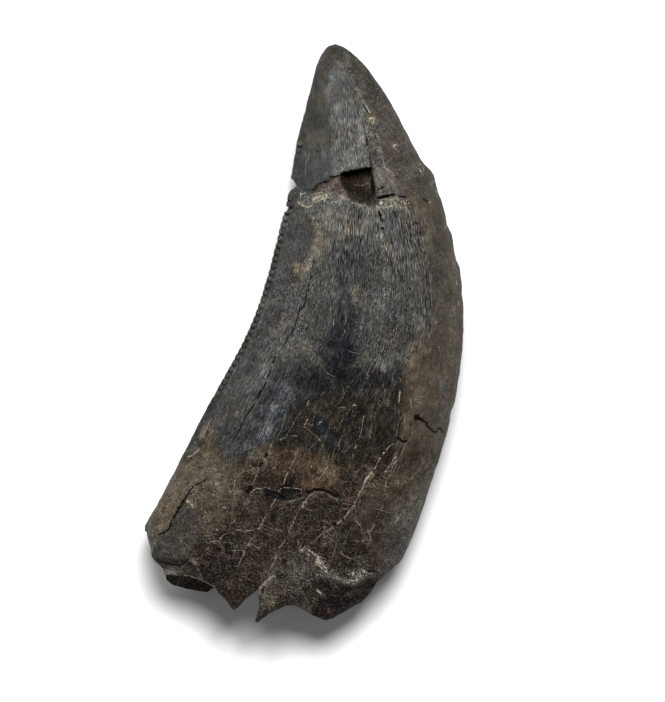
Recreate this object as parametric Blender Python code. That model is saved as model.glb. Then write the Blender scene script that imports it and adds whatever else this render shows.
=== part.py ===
"""A fossil tyrannosaur tooth with a broken root, lying on its side.

The tables are in millimetres and the mesh is in metres. +Y runs to the tip, +X to the mesial
(front) edge, -X to the serrated distal (back) edge and +Z is up. The origin is under the middle
of the tooth, on the surface that it lies on. The tooth is a loft: ovate sections from the root to
the tip, with a jagged break across the root, and it rests on two small flats.
"""
import math

import bmesh
import bpy
import numpy as np
from mathutils import Vector, noise

MM = 0.001

# Stations from the break (0) to the tip (13), about 4 mm apart along the tooth:
# distal edge x, y; mesial edge x, y; height of the edges; bulge above them; bulge below them.
STATIONS = (
    (-15.9, -19.3, 9.75, -22.5, 7.2, 7.6, 6.9),
    (-14.2, -16.2, 11.4, -18.6, 7.25, 8.2, 7.3),
    (-12.3, -12.6, 12.8, -14.4, 7.3, 8.5, 7.45),
    (-10.2, -8.4, 14.1, -10.4, 7.3, 8.5, 7.4),
    (-7.9, -4.2, 15.2, -5.6, 7.15, 8.2, 7.05),
    (-5.5, 0.4, 15.8, -0.6, 6.95, 7.8, 6.6),
    (-3.9, 4.8, 15.7, 4.6, 6.75, 7.3, 6.15),
    (-2.6, 9.8, 14.6, 9.8, 6.25, 6.6, 5.6),
    (-1.5, 14.4, 13.2, 14.4, 5.55, 5.7, 4.9),
    (-0.8, 18.6, 10.95, 18.6, 4.5, 4.6, 4.1),
    (0.3, 23.2, 8.55, 23.2, 3.2, 3.4, 3.1),
    (1.2, 26.6, 6.1, 26.7, 2.1, 2.4, 2.2),
    (2.1, 28.45, 4.2, 28.45, 1.3, 1.2, 1.1),
    (2.95, 28.9, 2.95, 28.9, 1.2, 0.0, 0.0),
)
TIP = len(STATIONS) - 1
ROOT_REACH = 3          # stations that the root goes on for below station 0, extrapolated

# How steeply a section leaves each edge: 0.5 is round, 1 is a straight-sided blade
MESIAL_POWER = 0.5
BLADE_STATIONS = (1.0, 4.0, 9.0, 11.5)
UPPER_BLADE_POWERS = (0.5, 1.0, 1.0, 0.65)
LOWER_BLADE_POWERS = (0.5, 0.85, 0.85, 0.6)
CROWN_FLATTENING = 0.25     # how much flatter than its curve a section is across its top

# The serrated edge: denticles cut by narrow gaps, fading towards the root and on the tip
DENTICLE_PITCH = 0.70
DENTICLE_DEPTH = 0.32
DENTICLE_GROOVE = 0.16      # how far the groove between two denticles sinks into each face
GAP_SHARE = 0.16            # half width of a gap, in pitches
DENTICLE_FADE_Y = (-9.0, -3.0, 13.0, 14.0, 15.5, 22.0, 24.0)
DENTICLE_FADE = (0.0, 1.0, 1.0, 0.0, 0.35, 0.30, 0.0)
DENTICLE_REACH = 0.35       # how far in from the edge the gaps and their grooves run

# Chips and swellings of the two edges: y, and how far the edge stands out (in, below zero)
DISTAL_CHIPS = ((13.9, 0.0), (14.35, -0.25), (14.75, -0.75), (15.3, -0.3), (15.5, 0.0))
MESIAL_CHIPS = ((-7.0, 0.0), (-6.2, -0.12), (-5.4, 0.0), (3.4, 0.0), (4.2, -0.12), (5.0, 0.05),
                (6.6, 0.08), (7.4, -0.1), (8.6, 0.0), (9.8, 0.1), (10.8, -0.08), (12.0, 0.0),
                (14.2, 0.0), (15.0, 0.2), (15.8, 0.42), (16.3, 0.38), (16.9, 0.08), (17.4, 0.0))
CHIP_REACH = 1.4

# The break across the root, from the distal edge to the mesial edge, in the upper and lower walls
UPPER_BREAK = (
    (-15.9, -19.3), (-15.25, -21.45), (-15.15, -22.3), (-14.8, -22.8), (-14.1, -23.6),
    (-14.0, -24.2), (-13.2, -24.1), (-12.1, -24.2), (-10.6, -24.5), (-9.5, -25.0), (-8.8, -25.4),
    (-8.4, -26.0), (-7.7, -26.7), (-7.3, -27.4), (-7.0, -27.7), (-6.45, -27.3), (-5.6, -26.3),
    (-4.6, -25.6), (-4.45, -26.6), (-4.5, -27.5), (-4.85, -28.7), (-4.6, -28.9), (-4.0, -28.4),
    (-3.5, -28.0), (-2.5, -27.6), (-1.7, -27.2), (-0.9, -27.2), (-0.05, -27.6), (0.7, -28.1),
    (2.1, -28.7), (2.8, -28.5), (4.1, -27.8), (5.7, -26.9), (6.7, -25.8), (7.2, -24.9),
    (8.95, -23.25), (9.45, -22.95), (9.75, -22.5),
)
LOWER_BREAK = (
    (-15.9, -19.3), (-15.3, -21.7), (-14.8, -22.8), (-14.1, -23.6), (-13.8, -24.8),
    (-13.1, -25.3), (-11.8, -25.7), (-10.6, -25.9), (-9.7, -26.0), (-9.2, -25.6), (-8.2, -24.7),
    (-6.4, -24.1), (-4.2, -24.1), (-1.9, -24.9), (-0.4, -26.3), (0.8, -27.8), (2.1, -28.5),
    (3.6, -28.0), (5.4, -26.8), (6.5, -25.7), (7.2, -24.7), (8.4, -23.9), (9.45, -22.95),
    (9.75, -22.5),
)
BREAK_STATIONS = 3.0        # the rows are bent to follow the break over this many stations
BREAK_EASE = 1.3
RIM_ROUND = 0.5             # how far the rim of the break is rounded down
RIM_ROUND_REACH = 0.8
END_RECESS = 3.0            # how far the broken end is hollowed between the two walls
END_ROUGHNESS = 0.45
TIPWARD = (0.36, 0.93, 0.0)  # the direction of the tooth's axis at the root

# Relief of the upper face: outline, depth, and the width of its sloping side
HOLE = ((3.65, 16.0), (6.7, 16.55), (7.15, 13.85), (6.7, 12.7), (5.3, 13.25), (4.1, 14.3),
        (3.55, 15.25))
HOLE_DEPTH = 2.8
HOLE_SIDE = 0.9
BARE_TIP = ((3.9, 28.4), (4.55, 26.25), (5.15, 22.75), (6.25, 19.95), (6.55, 18.0),
            (6.75, 16.55), (7.2, 14.9), (12.8, 14.4), (14.5, 15.5), (9.5, 25.0))
STRIP_LEFT = ((-1.0, 14.7), (0.9, 14.3), (2.55, 15.3), (3.55, 15.75), (4.3, 14.2), (5.3, 13.2),
              (4.1, 13.0), (3.15, 13.7), (2.25, 13.7), (1.2, 13.25), (0.25, 12.55), (-1.0, 13.25))
LOBE = ((0.0, -27.8), (0.0, -26.5), (0.8, -25.5), (1.4, -24.7), (2.1, -23.9), (3.3, -24.4),
        (4.0, -24.9), (4.9, -25.1), (5.7, -24.6), (6.4, -24.1), (7.3, -24.7), (7.8, -26.5),
        (5.0, -29.5), (0.5, -29.5))
LEDGE = ((-15.6, -22.3), (-14.4, -22.85), (-13.1, -23.2), (-12.4, -23.2), (-11.75, -22.7),
         (-11.3, -22.5), (-10.6, -23.5), (-10.0, -24.5), (-10.6, -25.4), (-14.4, -25.2))
MID_PIT = ((-2.7, -15.4), (-0.1, -15.4), (-0.4, -16.5), (-1.6, -16.8), (-2.6, -16.4))
FLAKE = ((-16.0, -20.9), (-14.55, -20.2), (-13.6, -19.7), (-13.25, -18.95), (-12.65, -17.55),
         (-11.7, -16.35), (-10.75, -15.15), (-9.55, -14.4), (-11.0, -13.0), (-13.4, -13.2))
UPPER_PATCHES = (
    (HOLE, HOLE_DEPTH, HOLE_SIDE),
    (BARE_TIP, 0.22, 0.3),
    (STRIP_LEFT, 0.35, 0.3),
    (LOBE, 1.9, 0.7),
    (LEDGE, 1.1, 0.45),
    (MID_PIT, 0.8, 0.5),
    (FLAKE, -0.3, 0.35),
)
# Cracks of the upper face that are wide enough to feel: route, half width, depth
UPPER_GROOVES = (
    (((-0.9, 14.75), (0.9, 14.3), (2.55, 15.3), (3.55, 15.75)), 0.45, 0.6),
    (((7.1, 13.4), (9.0, 13.75), (10.35, 13.6), (11.45, 13.55), (12.5, 13.1), (13.5, 12.7)),
     0.45, 0.55),
    (((-5.6, -15.8), (-5.0, -15.3), (-3.9, -15.4), (-2.8, -15.75), (-2.15, -15.3),
      (-1.05, -15.35), (0.7, -15.75), (2.6, -15.85), (3.55, -16.2)), 0.4, 0.4),
    (((11.2, -8.3), (11.75, -8.6), (12.5, -9.3), (13.0, -9.9), (13.8, -9.9)), 0.4, 0.5),
)
# The hidden face has the same fracture near the tip, one long split and a shed flake of enamel
LOWER_PATCHES = (
    (((3.0, -2.0), (6.5, -1.0), (8.2, 2.5), (7.4, 6.5), (4.6, 7.6), (2.6, 4.2)), 0.35, 0.4),
    (((-1.5, 13.0), (3.0, 13.4), (4.6, 14.6), (2.5, 15.6), (-1.5, 15.2)), 0.3, 0.4),
)
LOWER_GROOVES = (
    (((-1.2, 14.6), (1.8, 14.1), (4.4, 14.9), (7.4, 14.2), (10.2, 14.6), (13.6, 14.0)), 0.45, 0.6),
    (((-8.2, -21.5), (-6.6, -15.0), (-3.9, -8.0), (-1.6, -1.5)), 0.4, 0.45),
)
RELIEF_FADE = 0.35          # relief is full where a section stands above this share of its bulge

# Slow unevenness of the worn surface: strength at the root, strength on the crown, its scale
ROOT_ROUGHNESS = 0.20
CROWN_ROUGHNESS = 0.07
ROUGHNESS_SCALE = 2.6
ROOT_Y = (-14.0, -7.0)      # where the rough root gives way to the smooth crown

# Mesh: the loft's own grid, and how many of its triangles are kept
ROWS_PER_DENTICLE = 3
HALF_COLUMNS = 64           # columns over one face, from edge to edge
EDGE_CROWDING = 4.0         # how much closer the columns stand at the serrated edge
END_ROWS = 8                # rows down the broken end, from the upper wall to the lower
KEPT_SHARE = 0.135
SHARP_ANGLE = math.radians(38.0)

FOSSIL_COLOUR = (0.075, 0.067, 0.056, 1.0)
FOSSIL_ROUGHNESS = 0.48


def smooth_step(value, low, high):
    """0 below low, 1 above high, and an S-curve between."""
    t = np.clip((value - low) / (high - low), 0.0, 1.0)
    return t * t * (3.0 - 2.0 * t)


def station_values(k):
    """The columns of STATIONS at fractional station numbers k, on a Catmull-Rom curve."""
    table = np.array(STATIONS, dtype=float)
    reach = np.arange(ROOT_REACH + 1, 0, -1)[:, None]
    root = table[0] + reach * (table[0] - table[1])
    beyond = 2.0 * table[-1] - table[-2]
    table = np.vstack([root, table, beyond[None, :]])
    place = np.clip(np.asarray(k, dtype=float) + ROOT_REACH + 1, 1.0, len(table) - 2 - 1e-9)
    index = np.floor(place).astype(int)
    t = (place - index)[..., None]
    before, here, there, after = (table[index + offset] for offset in (-1, 0, 1, 2))
    return 0.5 * (2.0 * here + (there - before) * t
                  + (2.0 * before - 5.0 * here + 4.0 * there - after) * t ** 2
                  + (3.0 * here - 3.0 * there + after - before) * t ** 3)


def section_height(across, blade_power):
    """Height of a section, 0 to 1, at across from -1 (distal edge) to 1 (mesial edge)."""
    peak = (blade_power - MESIAL_POWER) / (blade_power + MESIAL_POWER)
    mesial = np.clip(1.0 - across, 0.0, 2.0) / (1.0 - peak)
    distal = np.clip(1.0 + across, 0.0, 2.0) / (1.0 + peak)
    height = mesial ** MESIAL_POWER * distal ** blade_power
    return height * (1.0 + CROWN_FLATTENING - CROWN_FLATTENING * height ** 2)


def blade_power(k, side):
    """How blade-like the distal edge is at station k, on the upper (1) or lower (-1) face."""
    powers = UPPER_BLADE_POWERS if side > 0 else LOWER_BLADE_POWERS
    return np.interp(k, BLADE_STATIONS, powers)


def column_places():
    """Places across one face, from 1 (mesial) to -1 (distal), closest at the serrated edge."""
    across = np.cos(np.linspace(0.0, math.pi, 2000))
    middle = station_values(TIP / 2)
    half_width = 0.5 * math.hypot(middle[2] - middle[0], middle[3] - middle[1])
    height = middle[5] * section_height(across, max(UPPER_BLADE_POWERS))
    steps = np.hypot(np.diff(across * half_width), np.diff(height))
    from_edge = half_width * (1.0 + across)
    crowding = 1.0 + EDGE_CROWDING * np.exp(-(from_edge[1:] / 1.2) ** 2)
    length = np.concatenate([[0.0], np.cumsum(steps * crowding)])
    return np.interp(np.linspace(0.0, length[-1], HALF_COLUMNS + 1), length, across)


def row_stations():
    """Station numbers of the rows, equally spaced along the serrated edge, and those spacings."""
    k = np.linspace(0.0, TIP, 4000)
    edge = station_values(k)[:, :2]
    length = np.concatenate([[0.0], np.cumsum(np.hypot(*np.diff(edge, axis=0).T))])
    step = DENTICLE_PITCH / ROWS_PER_DENTICLE
    rows = int(length[-1] / step)
    along = np.append(np.arange(rows) * step, length[-1])
    return np.interp(along, length, k), along


def break_points(outline):
    """Points on the break for the columns of one face, mesial to distal, that keep its corners."""
    points = np.array(outline[::-1])
    length = np.concatenate([[0.0], np.cumsum(np.hypot(*np.diff(points, axis=0).T))])
    share = length / length[-1]
    corner_columns = np.maximum.accumulate(np.round(share * HALF_COLUMNS))
    place = np.interp(np.arange(HALF_COLUMNS + 1), corner_columns, share)
    return np.stack([np.interp(place, share, points[:, 0]),
                     np.interp(place, share, points[:, 1])], axis=1)


def station_of(x, y, highest):
    """The station whose chord passes through each (x, y), found by halving."""
    low = np.full_like(x, -float(ROOT_REACH))
    high = highest + 0.5
    for _ in range(30):
        middle = 0.5 * (low + high)
        values = station_values(middle)
        chord_x = values[..., 2] - values[..., 0]
        chord_y = values[..., 3] - values[..., 1]
        tipward = chord_x * (y - values[..., 1]) - chord_y * (x - values[..., 0])
        low = np.where(tipward > 0.0, middle, low)
        high = np.where(tipward > 0.0, high, middle)
    return 0.5 * (low + high)


def edge_offsets(along, y):
    """How far each row's two edges stand out, and the strength of the denticle gap there."""
    phase = along / DENTICLE_PITCH
    phase = phase - np.round(phase)
    gap = np.exp(-(phase / GAP_SHARE) ** 2) * np.interp(y, DENTICLE_FADE_Y, DENTICLE_FADE)
    distal_y, distal = zip(*DISTAL_CHIPS)
    mesial_y, mesial = zip(*MESIAL_CHIPS)
    return gap, np.interp(y, distal_y, distal), np.interp(y, mesial_y, mesial)


def route_distance(x, y, route):
    """Distance from each (x, y) to a line through the route's points."""
    nearest = np.full(x.shape, np.inf)
    for (ax, ay), (bx, by) in zip(route[:-1], route[1:]):
        run_x, run_y = bx - ax, by - ay
        share = ((x - ax) * run_x + (y - ay) * run_y) / (run_x ** 2 + run_y ** 2)
        share = np.clip(share, 0.0, 1.0)
        nearest = np.minimum(nearest, np.hypot(x - ax - share * run_x, y - ay - share * run_y))
    return nearest


def depth_inside(x, y, outline):
    """Distance to a closed outline, above zero inside it and below zero outside."""
    closed = tuple(outline) + (outline[0],)
    inside = np.zeros(x.shape, dtype=bool)
    for (ax, ay), (bx, by) in zip(closed[:-1], closed[1:]):
        crosses = (ay > y) != (by > y)
        rise = (by - ay) if by != ay else 1e-9
        inside ^= crosses & (x < (bx - ax) * (y - ay) / rise + ax)
    distance = route_distance(x, y, closed)
    return np.where(inside, distance, -distance)


def relief(x, y, side):
    """How far the patches and grooves of a face sink below its smooth surface."""
    patches = UPPER_PATCHES if side > 0 else LOWER_PATCHES
    grooves = UPPER_GROOVES if side > 0 else LOWER_GROOVES
    depth = np.zeros(x.shape)
    for outline, sink, slope in patches:
        depth += sink * smooth_step(depth_inside(x, y, outline), -0.15 * slope, 0.85 * slope)
    for route, half_width, sink in grooves:
        depth += sink * np.clip(1.0 - route_distance(x, y, route) / half_width, 0.0, 1.0)
    return depth


def unevenness(x, y, z):
    """Slow random unevenness of the surface, the same on every run."""
    strength = ROOT_ROUGHNESS + (CROWN_ROUGHNESS - ROOT_ROUGHNESS) * smooth_step(y, *ROOT_Y)
    places = np.stack([x, 0.7 * y, z], axis=-1) / ROUGHNESS_SCALE
    flat = places.reshape(-1, 3)
    values = np.array([noise.fractal(Vector(place), 0.8, 2.1, 3) for place in flat])
    return strength * values.reshape(x.shape)


def face_grid(side):
    """Points of one face, rows by columns; side is 1 for the upper face, -1 for the lower."""
    stations, along = row_stations()
    values = station_values(stations)
    distal, mesial = values[:, :2], values[:, 2:4]
    across = column_places()
    half_chord = 0.5 * (mesial - distal)
    plan = 0.5 * (mesial + distal)[:, None, :] + across[None, :, None] * half_chord[:, None, :]

    bend = np.clip(1.0 - stations / BREAK_STATIONS, 0.0, 1.0) ** BREAK_EASE
    broken = break_points(UPPER_BREAK if side > 0 else LOWER_BREAK)
    plan = plan + bend[:, None, None] * (broken - plan[0])[None, :, :]
    x, y = plan[..., 0], plan[..., 1]

    k = np.repeat(stations[:, None], len(across), axis=1)
    k = np.where(k < BREAK_STATIONS, station_of(x, y, k), k)
    local = station_values(k)
    chord = 0.5 * (local[..., 2:4] - local[..., :2])
    centre = 0.5 * (local[..., 2:4] + local[..., :2])
    c = np.sum((plan - centre) * chord, axis=-1) / np.maximum(np.sum(chord ** 2, axis=-1), 1e-9)
    c = np.where(k < BREAK_STATIONS, np.clip(c, -1.0, 1.0), across[None, :])
    bulge = section_height(c, blade_power(k, side))
    depth = relief(x, y, side) * smooth_step(bulge, 0.0, RELIEF_FADE)

    gap, distal_chip, mesial_chip = edge_offsets(along, values[:, 1])
    width = np.hypot(half_chord[:, 0], half_chord[:, 1])[:, None]
    outward = half_chord / np.maximum(width, 1e-9)
    from_distal = width * (1.0 + across[None, :])
    from_mesial = width * (1.0 - across[None, :])
    near_edge = np.exp(-(from_distal / DENTICLE_REACH) ** 2)
    shift = DENTICLE_DEPTH * gap[:, None] * near_edge
    shift = shift - distal_chip[:, None] * np.exp(-(from_distal / CHIP_REACH) ** 2)
    shift = shift + mesial_chip[:, None] * np.exp(-(from_mesial / CHIP_REACH) ** 2)
    x = x + shift * outward[:, 0:1]
    y = y + shift * outward[:, 1:2]
    on_face = (1.0 - np.exp(-(from_distal / 0.1) ** 2)) * np.exp(-(from_distal / 0.6) ** 2)
    depth = depth + DENTICLE_GROOVE * gap[:, None] * on_face

    to_rim = np.hypot(*(np.stack([x, y]) - broken.T[:, None, :]))
    depth = depth + RIM_ROUND * np.clip(1.0 - to_rim / RIM_ROUND_REACH, 0.0, 1.0) ** 2
    rise = local[..., 5] if side > 0 else local[..., 6]
    z = local[..., 4] + side * rise * bulge
    depth = depth + unevenness(x, y, z) * smooth_step(bulge, 0.0, RELIEF_FADE)
    return np.stack([x, y, z - side * np.minimum(depth, 0.9 * rise * bulge)], axis=-1)


def end_grid(upper_rim, lower_rim):
    """Points of the broken end between the rims, each row one step further down."""
    share = np.linspace(0.0, 1.0, END_ROWS + 1)[1:-1, None, None]
    points = upper_rim[None] + share * (lower_rim - upper_rim)[None]
    height = upper_rim[:, 2] - lower_rim[:, 2]
    recess = END_RECESS * smooth_step(height, 2.0, 9.0)
    rough = np.array([[noise.fractal(Vector(point) / 1.7, 0.9, 2.0, 3) for point in row]
                      for row in points])
    hollow = np.sin(math.pi * share[:, :, 0]) ** 0.5
    pull = recess[None, :] * hollow + END_ROUGHNESS * rough * smooth_step(height, 1.0, 4.0)
    return points + pull[..., None] * np.array(TIPWARD)


def tooth_mesh():
    """The whole tooth as one closed mesh: both faces, the broken end and the tip."""
    upper, lower = face_grid(1), face_grid(-1)
    lower[:, 0], lower[:, -1] = upper[:, 0], upper[:, -1]
    ring = np.concatenate([upper, lower[:, -2:0:-1]], axis=1)
    end = end_grid(upper[0], lower[0])
    rows, columns = ring.shape[:2]

    mesh = bpy.data.meshes.new("tooth")
    form = bmesh.new()
    grid = [[form.verts.new(point * MM) for point in row] for row in ring[:-1]]
    tip = form.verts.new(ring[-1, 0] * MM)
    for low_row, high_row in zip(grid[:-1], grid[1:]):
        for j in range(columns):
            after = (j + 1) % columns
            form.faces.new((low_row[j], low_row[after], high_row[after], high_row[j]))
    for j in range(columns):
        form.faces.new((grid[-1][j], grid[-1][(j + 1) % columns], tip))

    upper_rim = grid[0][:HALF_COLUMNS + 1]
    lower_rim = [grid[0][0]] + grid[0][:HALF_COLUMNS - 1:-1]
    ladder = [upper_rim]
    for row in end:
        inner = [form.verts.new(point * MM) for point in row[1:-1]]
        ladder.append([upper_rim[0]] + inner + [upper_rim[-1]])
    ladder.append(lower_rim)
    for above, below in zip(ladder[:-1], ladder[1:]):
        for j in range(HALF_COLUMNS):
            corners = (above[j], below[j], below[j + 1], above[j + 1])
            form.faces.new(tuple(dict.fromkeys(corners)))
    bmesh.ops.recalc_face_normals(form, faces=form.faces)
    bmesh.ops.triangulate(form, faces=form.faces)
    form.to_mesh(mesh)
    form.free()
    return mesh


def fossil_material():
    """The tooth's one material: dark, dull fossil enamel and bone."""
    material = bpy.data.materials.new("fossil")
    material.use_nodes = True
    shader = material.node_tree.nodes["Principled BSDF"]
    shader.inputs["Base Color"].default_value = FOSSIL_COLOUR
    shader.inputs["Roughness"].default_value = FOSSIL_ROUGHNESS
    shader.inputs["Metallic"].default_value = 0.0
    return material


def resting_block(collection):
    """The block below the surface that planes the tooth's two resting flats."""
    size, depth = 80.0 * MM, 4.0 * MM
    form = bmesh.new()
    bmesh.ops.create_cube(form, size=1.0)
    bmesh.ops.scale(form, vec=(size, size, depth), verts=form.verts)
    bmesh.ops.translate(form, vec=(0.0, 0.0, -0.5 * depth), verts=form.verts)
    mesh = bpy.data.meshes.new("resting_block")
    form.to_mesh(mesh)
    form.free()
    block = bpy.data.objects.new("resting_block", mesh)
    block.hide_render = True
    block.display_type = "WIRE"
    collection.objects.link(block)
    return block


def build_tooth():
    """Make the tooth, thin out its mesh and plane the flats that it lies on."""
    scene_collection = bpy.context.scene.collection
    part_collection = bpy.data.collections.new("tyrannosaur_tooth")
    cutter_collection = bpy.data.collections.new("cutters")
    scene_collection.children.link(part_collection)
    scene_collection.children.link(cutter_collection)

    tooth = bpy.data.objects.new("tooth", tooth_mesh())
    tooth.data.materials.append(fossil_material())
    tooth.data.shade_smooth()
    tooth.data.set_sharp_from_angle(angle=SHARP_ANGLE)
    part_collection.objects.link(tooth)

    thin = tooth.modifiers.new("thin_out", "DECIMATE")
    thin.ratio = KEPT_SHARE
    flats = tooth.modifiers.new("resting_flats", "BOOLEAN")
    flats.operation = "DIFFERENCE"
    flats.solver = "EXACT"
    flats.object = resting_block(cutter_collection)


def clear_scene():
    """Remove whatever the file held before."""
    for item in list(bpy.data.objects):
        bpy.data.objects.remove(item, do_unlink=True)


clear_scene()
build_tooth()
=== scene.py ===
"""Looks of the fossil tyrannosaur tooth: fine surface, finish, floor, light and camera.

Lengths are in millimetres until the mesh is made, which is in metres like the frame. The tooth is
the same loft as the CAD solid, on a finer grid: sections from the root to the tip, bent at the
root to follow the jagged break. The upper face's markings are placed in pixels of the 665 by 702
picture, which from_picture turns into millimetres, and the underside's in millimetres.
"""
import math
import random

import bpy
import numpy as np
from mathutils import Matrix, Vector, noise


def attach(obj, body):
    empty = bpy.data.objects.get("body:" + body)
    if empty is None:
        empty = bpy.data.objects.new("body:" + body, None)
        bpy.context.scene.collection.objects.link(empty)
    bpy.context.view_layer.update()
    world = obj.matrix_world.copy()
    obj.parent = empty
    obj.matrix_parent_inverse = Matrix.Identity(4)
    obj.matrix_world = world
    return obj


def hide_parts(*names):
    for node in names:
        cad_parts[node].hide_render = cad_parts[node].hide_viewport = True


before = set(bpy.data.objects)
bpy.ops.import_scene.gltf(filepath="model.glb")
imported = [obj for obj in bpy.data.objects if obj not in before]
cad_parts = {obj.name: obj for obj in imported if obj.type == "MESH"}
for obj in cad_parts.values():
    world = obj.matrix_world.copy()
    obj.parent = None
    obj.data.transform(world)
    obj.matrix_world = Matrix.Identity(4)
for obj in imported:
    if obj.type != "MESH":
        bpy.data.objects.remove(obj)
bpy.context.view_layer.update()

MM = 0.001
TINY = 1e-9                     # keeps a division, or a place in a table, off its limit

# ---------------------------------------------------------------------------------------------
# The picture's frame: straight down on the tooth
# ---------------------------------------------------------------------------------------------
PICTURE = (665.0, 702.0)
PIXEL = 0.1                     # millimetres to a pixel, at the height of the tooth's outline
ORIGIN_PIXEL = (304.0, 333.0)   # where the frame's origin is seen


def from_picture(*pixels):
    """Places in millimetres on the XY plane, from pixels of the picture."""
    return tuple(((px - ORIGIN_PIXEL[0]) * PIXEL, (ORIGIN_PIXEL[1] - py) * PIXEL)
                 for px, py in pixels)


def placed(*rows):
    """Rows of a table, with the pixels of their route or outline as places in millimetres."""
    return tuple((from_picture(*row[0]),) + row[1:] for row in rows)


# ---------------------------------------------------------------------------------------------
# The loft, as the CAD solid has it
# ---------------------------------------------------------------------------------------------
# distal edge x, y; mesial edge x, y; height of the edges; bulge above them; bulge below them
STATIONS = (
    (-15.9, -19.3, 9.75, -22.5, 7.2, 7.6, 6.9),
    (-14.2, -16.2, 11.4, -18.6, 7.25, 8.2, 7.3),
    (-12.3, -12.6, 12.8, -14.4, 7.3, 8.5, 7.45),
    (-10.2, -8.4, 14.1, -10.4, 7.3, 8.5, 7.4),
    (-7.9, -4.2, 15.2, -5.6, 7.15, 8.2, 7.05),
    (-5.5, 0.4, 15.8, -0.6, 6.95, 7.8, 6.6),
    (-3.9, 4.8, 15.7, 4.6, 6.75, 7.3, 6.15),
    (-2.6, 9.8, 14.6, 9.8, 6.25, 6.6, 5.6),
    (-1.5, 14.4, 13.2, 14.4, 5.55, 5.7, 4.9),
    (-0.8, 18.6, 10.95, 18.6, 4.5, 4.6, 4.1),
    (0.3, 23.2, 8.55, 23.2, 3.2, 3.4, 3.1),
    (1.2, 26.6, 6.1, 26.7, 2.1, 2.4, 2.2),
    (2.1, 28.55, 4.2, 28.5, 1.3, 1.2, 1.1),
    (2.95, 29.05, 2.95, 29.05, 1.2, 0.0, 0.0),
)
TIP = len(STATIONS) - 1
ROOT_REACH = 3                  # stations that the loft is carried on past the root
MESIAL_POWER = 0.5              # the power by which a section rises from its mesial edge
BLADE_STATIONS = (1.0, 4.0, 9.0, 11.5)      # and from its distal one, at these stations
UPPER_BLADE_POWERS = (0.5, 1.0, 1.0, 0.65)
LOWER_BLADE_POWERS = (0.5, 0.85, 0.85, 0.6)
CROWN_FLATTENING = 0.25
SECTION_SAMPLES = 2000          # points to measure lengths by, across a section and along the edge
EDGE_SAMPLES = 4000
HALVINGS = 30                   # steps in which the station of a place is found

DENTICLE_PITCH = 0.70
DENTICLE_DEPTH = 0.10
DENTICLE_GROOVE = 0.14
GAP_SHARE = 0.13
DENTICLE_FADE_Y = (-9.0, -3.0, 13.0, 14.0, 15.5, 22.0, 24.0)
DENTICLE_FADE = (0.0, 0.8, 1.0, 0.0, 0.20, 0.15, 0.0)
DENTICLE_REACH = 0.35
GROOVE_START = 0.1              # how far in from the edge a gap's groove deepens and runs out
GROOVE_REACH = 0.6
SLOT_SLANT = 0.25               # how far a slot leans, in pitches for a millimetre

# Chips of the two edges: y, and how far the edge stands out there
DISTAL_CHIPS = ((12.05, 0.0), (12.25, -0.30), (12.55, -0.30), (12.75, 0.0), (13.9, 0.0),
                (14.35, -0.25), (14.75, -0.75), (15.3, -0.3), (15.5, 0.0))
MESIAL_CHIPS = ((-7.0, 0.0), (-6.2, -0.12), (-5.4, 0.0), (3.4, 0.0), (4.2, -0.12), (5.0, 0.05),
                (6.6, 0.08), (7.4, -0.1), (8.6, 0.0), (9.8, 0.1), (10.8, -0.08), (12.0, 0.0),
                (14.2, 0.0), (15.0, 0.2), (15.8, 0.42), (16.3, 0.38), (16.9, 0.08), (17.4, 0.0))
CHIP_REACH = 1.4
EDGE_ROUGHNESS = 0.07           # how far the edges stray, and how long their bumps are
EDGE_SCALE = 1.5
DISTAL_SEED = 11
MESIAL_SEED = 12
RIM_ROUGHNESS = 0.07            # the same for the rim of the break
RIM_SCALE = 1.3
RIM_SEEDS = (13, 14)
MESIAL_FULLNESS = 0.10          # how much the mesial edge stands out beyond the stations

UPPER_BREAK = (
    (-15.9, -19.3), (-15.25, -21.45), (-15.15, -22.3), (-14.8, -22.8), (-14.1, -23.6),
    (-14.0, -24.2), (-13.2, -24.1), (-12.1, -24.2), (-10.6, -24.5), (-9.5, -25.0), (-8.8, -25.4),
    (-8.4, -26.0), (-7.7, -26.7), (-7.3, -27.4), (-7.0, -27.7), (-6.45, -27.3), (-5.6, -26.3),
    (-4.6, -25.6), (-4.45, -26.6), (-4.5, -27.5), (-4.85, -28.7), (-4.6, -28.9), (-4.0, -28.4),
    (-3.5, -28.0), (-2.5, -27.6), (-1.7, -27.2), (-0.9, -27.2), (-0.05, -27.6), (0.7, -28.1),
    (2.1, -28.7), (2.8, -28.5), (4.1, -27.8), (5.7, -26.9), (6.7, -25.8), (7.2, -24.9),
    (8.95, -23.25), (9.45, -22.95), (9.75, -22.5),
)
LOWER_BREAK = (
    (-15.9, -19.3), (-15.3, -21.7), (-14.8, -22.8), (-14.1, -23.6), (-13.8, -24.8),
    (-13.1, -25.3), (-11.8, -25.7), (-10.6, -25.9), (-9.7, -26.0), (-9.2, -25.6), (-8.2, -24.7),
    (-6.4, -24.1), (-4.2, -24.1), (-1.9, -24.9), (-0.4, -26.3), (0.8, -27.8), (2.1, -28.5),
    (3.6, -28.0), (5.4, -26.8), (6.5, -25.7), (7.2, -24.7), (8.4, -23.9), (9.45, -22.95),
    (9.75, -22.5),
)
BREAK_STATIONS = 3.0            # how far up the loft is bent to follow the break
BREAK_EASE = 1.3
RIM_ROUND = 0.5                 # how far the rim is rounded down, and how far in
RIM_ROUND_REACH = 0.8
END_RECESS = 3.0                # depth of the hollow end, all of it where the end is 9 mm high
RECESS_HEIGHTS = (2.0, 9.0)
END_ROUGHNESS = 0.45
END_ROUGH_HEIGHTS = (1.0, 4.0)
END_LUMPS = (1.7, 3, 0)         # noises of the end: scale, octaves, seed
END_GRIT = (0.5, 2, 5)
END_GRIT_SHARE = 0.35
TIPWARD = (0.36, 0.93, 0.0)

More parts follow.
